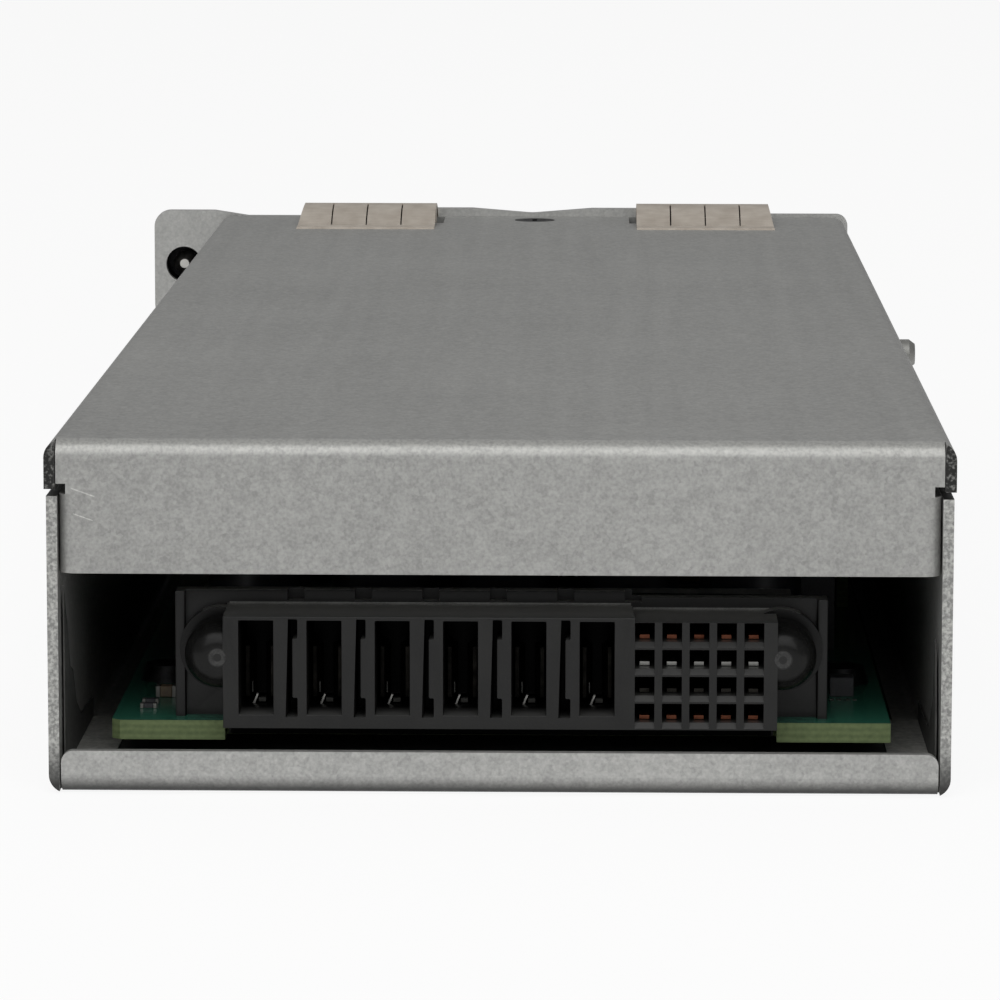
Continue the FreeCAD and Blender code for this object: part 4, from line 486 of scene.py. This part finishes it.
def shrinkSleeve(name, look):
    material, tree, shader, place = startMaterial(name)
    shrink = addNoise(tree, place, 1 / (look["shrinkMm"] * mm), detail=2.0)
    isTop = addMath(tree, "GREATER_THAN", facing(tree)["Z"], level)
    sleeve = blendColours(tree, shrink, look["dark"], look["light"])
    joinShader(tree, shader, {
        "Base Color": blendColours(tree, isTop, sleeve, look["can"]),
        "Metallic": isTop,
        "Roughness": addRamp(tree, shrink, low=look["rough"][0], high=look["rough"][1]),
        "Normal": addBump(tree, shrink, look["bump"], look["bumpMm"]),
    })
    return material


# Ceramic tube with pressed nickel caps: white and glossy between two metal ends.
fuseLook = {"dark": "#D8D4CA", "light": "#EAE7DF", "cap": "#C9C6BD", "capLength": 5.0 * mm, "speckMm": 0.6,
            "rough": (0.20, 0.36)}


def cappedCeramic(name, look):
    material, tree, shader, place = startMaterial(name)
    low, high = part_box("fuse")
    fromMiddle = addMath(tree, "SUBTRACT", splitAxes(tree, place)["Y"], (low.y + high.y) / 2)
    reach = addMath(tree, "ABSOLUTE", fromMiddle)
    isCap = addMath(tree, "GREATER_THAN", reach, (high.y - low.y) / 2 - look["capLength"])
    speck = addNoise(tree, place, 1 / (look["speckMm"] * mm), detail=2.0)
    tube = blendColours(tree, speck, look["dark"], look["light"])
    joinShader(tree, shader, {
        "Base Color": blendColours(tree, isCap, tube, look["cap"]),
        "Metallic": isCap,
        "Roughness": addRamp(tree, speck, low=look["rough"][0], high=look["rough"][1]),
    })
    return material


# Clear moulded polycarbonate: the light pipes show what lies behind them, softly.
lightPipeLook = {"colour": "#DDE6DC", "flowMm": 1.5, "rough": (0.10, 0.28), "clear": 0.85,
                 "refraction": 1.58}


def clearPolycarbonate(name, look):
    material, tree, shader, place = startMaterial(name)
    flow = addNoise(tree, place, 1 / (look["flowMm"] * mm), detail=1.0)
    rough = addRamp(tree, flow, low=look["rough"][0], high=look["rough"][1])
    joinShader(tree, shader, {"Roughness": rough})
    shader.inputs["Base Color"].default_value = linearColour(look["colour"])
    shader.inputs["Transmission Weight"].default_value = look["clear"]
    shader.inputs["IOR"].default_value = look["refraction"]
    return material


# Materials on the CAD nodes
finishes = {
    "galvanised_steel": sheetSteel("galvanisedSteel", galvanisedLook),
    "panel_steel": sheetSteel("zincPlatedSteel", platedPlateLook),
    "green_board": glassEpoxyBoard("glassEpoxyBoard", boardLook),
    "winding_tape": woundTape("polyesterTape", tapeLook),
    "capacitor_sleeve": shrinkSleeve("vinylShrinkSleeve", sleeveLook),
    "fuse_ceramic": cappedCeramic("glazedCeramicFuse", fuseLook),
    "clear_plastic": clearPolycarbonate("clearPolycarbonate", lightPipeLook),
}
for slotName, metal in (("bright_steel", "nickelPlatedSteel"), ("black_screw", "blackOxideSteel"),
                        ("spring_steel", "drawnSpringSteel"), ("spring_bronze", "tinnedSpringStrip"),
                        ("sintered_bronze", "sinteredBronze"), ("copper_alloy", "stampedCopperAlloy"),
                        ("nickel_brass", "nickelPlatedBrass"), ("aluminium_extrusion", "extrudedAluminium")):
    finishes[slotName] = metalPart(metal, metalLooks[metal])
for slotName, plastic in (("connector_plastic", "glassFilledPolyester"),
                          ("black_plastic", "mouldedBlackNylon"), ("black_epoxy", "epoxyMouldedPackage"),
                          ("ferrite", "pressedFerrite"),
                          ("yellow_case", "filmCapacitorCase"), ("wire_insulation", "siliconeWire"),
                          ("insulator_film", "insulatorFilm")):
    finishes[slotName] = mouldedPart(plastic, plasticLooks[plastic])
ownFinish = {
    "top_cover": sheetSteel("galvanisedSteelCover", coverLook, coverScratches),
    "chassis_tray": sheetSteel("galvanisedSteelTray", trayLook),
    # Power contacts painted near black as painted shade in the slots.
    "power_contacts": metalPart("nearBlackContactShade", metalLooks["nearBlackContactShade"]),
    "board_screws": finishes["black_screw"],
    "thumbscrew_ferrule": finishes["black_screw"],
    "keying_stud": metalPart("passivatedSteel", dict(metalLooks["nickelPlatedSteel"], dark="#8E8E8B",
                                                     light="#AAAAA6", rough=(0.52, 0.66))),
}
for nodeName in ("boost_choke_winding", "common_mode_windings", "fan_stator"):
    ownFinish[nodeName] = enamelledWinding(nodeName, windingLook)
for row in frame["record"]["subparts"]:
    node = nodes[row["node"]]
    node.data.materials.clear()
    node.data.materials.append(ownFinish.get(row["node"]) or finishes[row["material_slot"]])
print("materials on the CAD nodes:", len(bpy.data.materials))


# Docking connector
# The guide posts are polished in the tool, the nose's root gets a pale painted highlight, and the gates are
# torn off.
postPlastic = mouldedPart("polishedPolyester", dict(plasticLooks["glassFilledPolyester"], rough=(0.20, 0.30),
                                                    bump=0.04, gloss=0.16, paintedTopLight=None, cavityShade=None))
# Painted highlight: the nose's root bar is a pale copy of the housing plastic.
rootHighlightPlastic = mouldedPart("rootHighlightPolyester", dict(plasticLooks["glassFilledPolyester"], dark="#6A6A68",
                                                    light="#90908D", paintedTopLight=None, cavityShade=None))
gatePlastic = mouldedPart("frostedPolyester", dict(plasticLooks["glassFilledPolyester"], dark="#1E1E1E",
                                                   light="#3C3C3B", toneMm=0.5, rough=(0.5, 0.6),
                                                   cavityShade=None))
# The contacts' plating: dull tin on the plates; one row of tongues gets a pale painted reflection.
dullTin = metalPart("dullTin", dict(metalLooks["nearBlackContactShade"], dark="#3A3A38", light="#5E5E5B"))
paleReflectionTone = metalPart("paleReflectionTone", dict(metalLooks["nickelPlatedSteel"], dark="#8C8C88", light="#B2B2AE"))

# Each tongue is formed: its free end reaches on towards the mouth and dips. Rows count from the bottom,
# and a finish is 0 for copper, 1 for a pale painted reflection and 2 for the power contacts' near-black
# painted shade.
tongueLook = {"freeEnd": 0.1 * mm, "reach": 1.2 * mm, "dip": 0.37 * mm, "finishOfRow": (0, 2, 1, 0)}


def signalTongues(look):
    bm = mergedCopy("signal_contacts")
    low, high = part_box("signal_contacts")
    for vert in bm.verts:
        if vert.co.y < low.y + look["freeEnd"]:
            vert.co += Vector((0, -look["reach"], -look["dip"]))
    rows = len(look["finishOfRow"])
    for face in bm.faces:
        row = min(rows - 1, int(rows * (face.calc_center_median().z - low.z) / (high.z - low.z)))
        face.material_index = look["finishOfRow"][row]
    piece = finishPiece("signalTongues", bm, finishes["copper_alloy"])
    piece.data.materials.append(paleReflectionTone)
    piece.data.materials.append(ownFinish["power_contacts"])
    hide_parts("signal_contacts")


# The nose meets its flange in a small moulded radius, coloured pale as a painted highlight: one run over the
# power slots, one over the lower signal block, as left end, right end and height in millimetres.
rootLook = {"runs": ((-25.6, 12.2, 16.2), (12.4, 25.6, 15.8)), "radius": 0.26 * mm, "noseLength": 7.0 * mm,
            "steps": 4}


def noseRoot(look):
    bm = bmesh.new()
    face = dockLow.y + look["noseLength"]
    turns = [math.pi / 2 * step / look["steps"] for step in range(look["steps"] + 1)]
    places = [(0, 0)] + [(look["radius"] * (1 - math.sin(turn)), look["radius"] * (1 - math.cos(turn)))
                         for turn in turns]
    for left, right, top in look["runs"]:
        ends = [[bm.verts.new((x * mm, face - back, top * mm + up)) for back, up in places]
                for x in (left, right)]
        for index in range(len(places)):
            after = (index + 1) % len(places)
            bm.faces.new((ends[0][index], ends[0][after], ends[1][after], ends[1][index]))
        bm.faces.new(ends[0])
        bm.faces.new(ends[1][::-1])
    bmesh.ops.recalc_face_normals(bm, faces=bm.faces)
    finishPiece("noseRoot", bm, rootHighlightPlastic)


def pieceBoxes(nodeName):
    bm = mergedCopy(nodeName)
    waiting = set(bm.verts)
    boxes = []
    while waiting:
        reached = [waiting.pop()]
        for vert in reached:  # grows while it is walked, until the piece has no more neighbours
            fresh = {edge.other_vert(vert) for edge in vert.link_edges} & waiting
            waiting -= fresh
            reached += fresh
        places = [vert.co for vert in reached]
        boxes.append([Vector([pick(place[axis] for place in places) for axis in range(3)])
                      for pick in (min, max)])
    bm.free()
    return sorted(boxes, key=lambda box: (box[0] + box[1]).x)


# A bright formed foot on the floor of each power slot, between the two leaves, with two dull plates
# beside it. Millimetres; each plate is its place and its size.
footLook = {"blade": (0.26, 0.7, 1.15), "lean": 22.0, "lift": 0.78, "aside": 0.42, "edge": 0.05,
            "plates": (((0.62, 0.3, 0.5), (0.75, 0.9, 0.45)), ((-0.30, 0.3, 1.7), (0.18, 0.4, 1.1)))}


def contactFeet(look):
    blades = bmesh.new()
    plates = bmesh.new()
    leaves = pieceBoxes("power_contacts")
    for left, right in zip(leaves[::2], leaves[1::2]):
        middle = (left[0] + right[1]) / 2
        base = Vector((middle.x - look["aside"] * mm, left[0].y, left[0].z - look["lift"] * mm))
        blade = addBox(blades, (0, 0, 0), Vector(look["blade"]) * mm)
        lean = Matrix.Rotation(math.radians(look["lean"]), 3, "Y")
        bmesh.ops.rotate(blades, verts=blade, matrix=lean)
        bmesh.ops.translate(blades, verts=blade, vec=base + Vector((0, 0, look["blade"][2] / 2 * mm)))
        for place, size in look["plates"]:
            addBox(plates, base + Vector(place) * mm, Vector(size) * mm)
    for made in (blades, plates):
        breakEdges(made, made.edges[:], look["edge"] * mm, 1)
    finishPiece("contactFeet", blades, finishes["bright_steel"])
    finishPiece("contactPlates", plates, dullTin)


# The mould's gate leaves a pale ring on each guide post's tip.
postPlace = {"height": 12.3 * mm, "reach": 26.3 * mm, "radius": 3.35 * mm, "root": 6.5 * mm,
             "inwards": 0.5 * mm}
gateLook = {"radius": 0.85 * mm, "inner": 0.55, "taper": 0.9, "depth": 0.03 * mm, "sides": 24}


def gateMarks(look):
    bm = bmesh.new()
    for side in (-1, 1):
        tip = Matrix.Translation((side * postPlace["reach"], dockLow.y, postPlace["height"]))
        bmesh.ops.create_cone(bm, cap_ends=True, segments=look["sides"], radius1=look["radius"],
                              radius2=look["radius"] * look["taper"], depth=2 * look["depth"],
                              matrix=tip @ Matrix.Rotation(math.pi / 2, 4, "X"))
    discs = [face for face in bm.faces if len(face.verts) > 4]
    bmesh.ops.inset_region(bm, faces=discs, thickness=look["radius"] * (1 - look["inner"]))
    for face in bm.faces:
        face.material_index = 1 if len(face.verts) > 4 else 0  # the flat middle keeps the post's own finish
    piece = finishPiece("gateMarks", bm, gatePlastic)
    piece.data.materials.append(finishes["connector_plastic"])


# The housing with its moulded edges rounded. The signal cells' mouths stay sharp, and the chamfers at
# their sides are drawn in so that the ribs between them keep their width.
dockLook = {"merge": 0.004 * mm, "flat": 1.0, "edgeRadius": 0.13 * mm, "longEdge": 2.6 * mm, "sharp": 60,
            "cellsFrom": 12.0 * mm, "cellsTo": 26.5 * mm, "cellsTop": 0.7 * mm, "cellFirst": 13.46 * mm,
            "cellPitch": 2.54 * mm, "cellColumns": 5, "cellHalf": 0.92 * mm, "mouth": 1.2 * mm,
            "overBoard": 0.3 * mm, "face": 0.01 * mm}


def drawInMouths(bm, look):
    for vert in bm.verts:
        if vert.co.y < dockLow.y + look["face"] and look["cellsFrom"] < vert.co.x < look["cellsTo"]:
            column = round((vert.co.x - look["cellFirst"]) / look["cellPitch"])
            aside = vert.co.x - look["cellFirst"] - column * look["cellPitch"]
            if 0 <= column < look["cellColumns"] and look["cellHalf"] < abs(aside) < look["mouth"]:
                vert.co.x += math.copysign(look["cellHalf"], aside) - aside


def dockHousing(look):
    bm = mergedCopy("docking_connector_housing", look["merge"])
    bmesh.ops.dissolve_limit(bm, angle_limit=math.radians(look["flat"]), verts=bm.verts, edges=bm.edges,
                             delimit=set())
    drawInMouths(bm, look)
    picked = []
    for edge in bm.edges:
        middle = (edge.verts[0].co + edge.verts[1].co) / 2
        inCells = look["cellsFrom"] < middle.x < look["cellsTo"] and middle.z < dockHigh.z - look["cellsTop"]
        underneath = middle.z < boardHigh.z + look["overBoard"]
        corner = edge.is_manifold and edge.calc_face_angle(0) > math.radians(look["sharp"])
        if corner and edge.calc_length() > look["longEdge"] and not inCells and not underneath:
            picked.append(edge)
    breakEdges(bm, picked, look["edgeRadius"], 2)
    for face in bm.faces:
        middle = face.calc_center_median()
        aside = math.hypot(abs(middle.x) - postPlace["reach"], middle.z - postPlace["height"])
        beforeRoot = middle.y < dockLow.y + postPlace["root"]
        outside = abs(middle.x) > postPlace["reach"] - postPlace["inwards"]
        face.material_index = int(aside < postPlace["radius"] and beforeRoot and outside)
    piece = finishPiece("dockHousing", bm, finishes["connector_plastic"])
    piece.data.materials.append(postPlastic)
    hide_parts("docking_connector_housing")


signalTongues(tongueLook)
noseRoot(rootLook)
contactFeet(footLook)
gateMarks(gateLook)
dockHousing(dockLook)
print("docking connector done")


# Small parts soldered to the main board
# Fired ceramic of the chip capacitors is matt and tan; reflowed solder on the ends is dull and uneven.
ceramicLook = dict(plainPlastic, dark="#5A4E42", light="#74644F", toneMm=1.5, gritMm=0.12,
                   rough=(0.45, 0.6), bump=0.2)
chipCeramic = mouldedPart("firedChipCeramic", ceramicLook)
solderedEnd = metalPart("reflowedSolder", dict(metalLooks["nickelPlatedSteel"], dark="#6E6D6A",
                                               light="#94938F", rough=(0.4, 0.6)))
chipLook = {"endShare": 0.22, "bodyShare": 0.96, "edge": 0.06 * mm}
chips = [  # kind, distances from the middle and from the rear face, size: all in millimetres
    ("resistor", -33.6, 13.2, (1.6, 0.8, 0.5)),
    ("resistor", -33.6, 15.6, (1.6, 0.8, 0.5)),
    ("capacitor", -32.4, 19.4, (2.0, 1.25, 1.1)),
]
choke = {"place": (32.6, 21.9), "size": (2.3, 2.2, 1.86), "pads": (-1.05, -0.35, 0.45, 1.15),
         "padRow": -3.0, "padSize": (0.42, 0.55, 0.08)}


def boardChips(look):
    bodies = {"resistor": bmesh.new(), "capacitor": bmesh.new()}
    ends = bmesh.new()
    for kind, sideways, along, size in chips:
        length, depth, height = Vector(size) * mm
        place = Vector((sideways * mm, rearFace + along * mm, boardHigh.z + height / 2))
        body = (length * (1 - 2 * look["endShare"]), depth * look["bodyShare"], height * look["bodyShare"])
        addBox(bodies[kind], place, body)
        for side in (-1, 1):
            offset = side * length * (1 - look["endShare"]) / 2
            addBox(ends, place + Vector((offset, 0, 0)), (length * look["endShare"], depth, height))
    size = Vector(choke["size"]) * mm
    sideways, along = choke["place"]
    place = Vector((sideways * mm, rearFace + along * mm, boardHigh.z + size.z / 2))
    addBox(bodies["resistor"], place, size)
    padSize = Vector(choke["padSize"]) * mm
    for aside in choke["pads"]:
        row = place.y + choke["padRow"] * mm
        addBox(ends, Vector((place.x + aside * mm, row, boardHigh.z + padSize.z / 2)), padSize)
    for bm in (*bodies.values(), ends):
        breakEdges(bm, bm.edges[:], look["edge"], 1, clamp=True)
    finishPiece("chipResistors", bodies["resistor"], finishes["ferrite"])
    finishPiece("chipCapacitors", bodies["capacitor"], chipCeramic)
    finishPiece("chipEnds", ends, solderedEnd)


boardChips(chipLook)


# Film laid on the tray's floor beside the board; its torn edges climb both walls to the mouth. The
# outlines give the distance from the rear face and the height on the wall, in millimetres.
filmLook = {"thick": 0.12 * mm, "gap": 0.6 * mm, "inner": 36.6 * mm, "start": 4.5 * mm, "sheet": 1.0 * mm,
            "wallGap": 0.2 * mm,
            "left": ((2.6, 17.5), (4.0, 15.2), (5.5, 13.6), (8.0, 9.0), (10.5, 8.2), (13.5, 4.6),
                     (18.0, 2.6), (30.0, 2.1)),
            "right": ((2.6, 5.0), (4.0, 11.0), (5.0, 12.4), (7.5, 6.2), (10.5, 4.0), (14.0, 2.4),
                      (18.0, 2.2), (30.0, 2.0))}
# Painted light: the film's floor part is pale, while its part on the walls keeps the dark film colour.
paleFilmPaintedLight = mouldedPart("filmPaintedLight", dict(plasticLooks["insulatorFilm"], dark="#8C8C88",
                                              light="#B4B4AF", toneMm=1.2))


def insulatingFilm(look):
    bm = bmesh.new()
    floorTop = trayLow.z + look["sheet"] + look["gap"]
    for side, edge in ((-1, look["left"]), (1, look["right"])):
        wall = side * (trayHigh.x - look["sheet"] - look["wallGap"])
        path = [(rearFace + along * mm, floorTop + up * mm) for along, up in edge]
        upright = [bm.verts.new((wall, y, z)) for y, z in path]
        fold = [bm.verts.new((wall, y, floorTop)) for y, z in path]
        inner = [bm.verts.new((side * look["inner"], max(y, rearFace + look["start"]), floorTop))
                 for y, z in path]
        for index in range(len(path) - 1):
            for part, (upper, lower) in enumerate(((upright, fold), (fold, inner))):
                face = bm.faces.new((lower[index], lower[index + 1], upper[index + 1], upper[index]))
                face.material_index = part
    bmesh.ops.recalc_face_normals(bm, faces=bm.faces)
    bmesh.ops.solidify(bm, geom=bm.faces[:], thickness=look["thick"])
    piece = finishPiece("insulatingFilm", bm, finishes["insulator_film"])
    piece.data.materials.append(paleFilmPaintedLight)


insulatingFilm(filmLook)
print("board parts done")


# Floor, light, camera
# Matt white paper: the camera sees most of it as plain white, and the rest keeps the shadow.
floorLook = {"size": 8.0, "colour": "#FEFEFD", "rough": 0.9, "whiteShare": 0.90, "drop": 0.05 * mm}


def paleFloor(look):
    bm = bmesh.new()
    bmesh.ops.create_grid(bm, x_segments=1, y_segments=1, size=look["size"] / 2)
    bmesh.ops.translate(bm, verts=bm.verts, vec=(0, 0, cadLow.z - look["drop"]))
    mesh = bpy.data.meshes.new("floor")
    bm.to_mesh(mesh)
    bm.free()
    floor = bpy.data.objects.new("floor", mesh)
    bpy.context.scene.collection.objects.link(floor)
    material, tree, shader, place = startMaterial("mattPaper")
    shader.inputs["Base Color"].default_value = linearColour(look["colour"])
    shader.inputs["Roughness"].default_value = look["rough"]
    path = addNode(tree, "ShaderNodeLightPath")
    seen = path.outputs["Is Camera Ray"]
    for other in ("Is Glossy Ray", "Is Transmission Ray"):
        seen = addMath(tree, "MAXIMUM", seen, path.outputs[other])
    share = addMath(tree, "MULTIPLY", seen, look["whiteShare"])
    white = addNode(tree, "ShaderNodeEmission", {"Strength": 1.0})
    mixed = addNode(tree, "ShaderNodeMixShader", links={0: share, 1: shader.outputs[0], 2: white.outputs[0]})
    tree.links.new(mixed.outputs[0], tree.nodes["Material Output"].inputs["Surface"])
    mesh.materials.append(material)


roomLook = {"colour": "#FFFFFF", "strength": 0.30}
lamps = [  # soft boxes: place from the middle of the case, width and height, power
    {"name": "frontBox", "place": (-0.05, -0.75, 0.95), "size": (1.3, 0.8), "power": 6.4},
    {"name": "frontCard", "place": (0.0, -1.15, 0.52), "size": (1.5, 0.45), "power": 3.1},
    {"name": "backBox", "place": (0.0, 0.95, 1.10), "size": (0.9, 0.7), "power": 1.0},
]


def studioLight():
    world = bpy.data.worlds.new("softRoom")
    world.use_nodes = True
    tree = world.node_tree
    background = tree.nodes.get("Background") or tree.nodes.new("ShaderNodeBackground")
    background.inputs["Color"].default_value = linearColour(roomLook["colour"])
    background.inputs["Strength"].default_value = roomLook["strength"]
    bpy.context.scene.world = world
    middle = (cadLow + cadHigh) / 2
    for lamp in lamps:
        light = bpy.data.lights.new(lamp["name"], "AREA")
        light.shape = "RECTANGLE"
        light.size, light.size_y = lamp["size"]
        light.energy = lamp["power"]
        holder = bpy.data.objects.new(lamp["name"], light)
        bpy.context.scene.collection.objects.link(holder)
        holder.location = middle + Vector(lamp["place"])
        holder.rotation_mode = "QUATERNION"
        holder.rotation_quaternion = (-Vector(lamp["place"])).to_track_quat("-Z", "Y")


cameraLook = {"sideways": 9.19 * mm, "behindCase": 483.57 * mm, "height": 97.35 * mm, "tilt": 81.80,
              "roll": -0.077, "turn": 1.094, "lens": 191.28, "sensor": 36.0, "clipStart": 0.01}


def mainCamera(look):
    camera = bpy.data.cameras.new("mainCamera")
    camera.lens = look["lens"]
    camera.sensor_width = look["sensor"]
    camera.clip_start = look["clipStart"]
    holder = bpy.data.objects.new("mainCamera", camera)
    bpy.context.scene.collection.objects.link(holder)
    holder.location = (look["sideways"], rearFace - look["behindCase"], look["height"])
    holder.rotation_euler = [math.radians(look[name]) for name in ("tilt", "roll", "turn")]
    bpy.context.scene.camera = holder


paleFloor(floorLook)
studioLight()
mainCamera(cameraLook)
bpy.context.scene.view_settings.view_transform = "Standard"
print("floor, light and camera done")
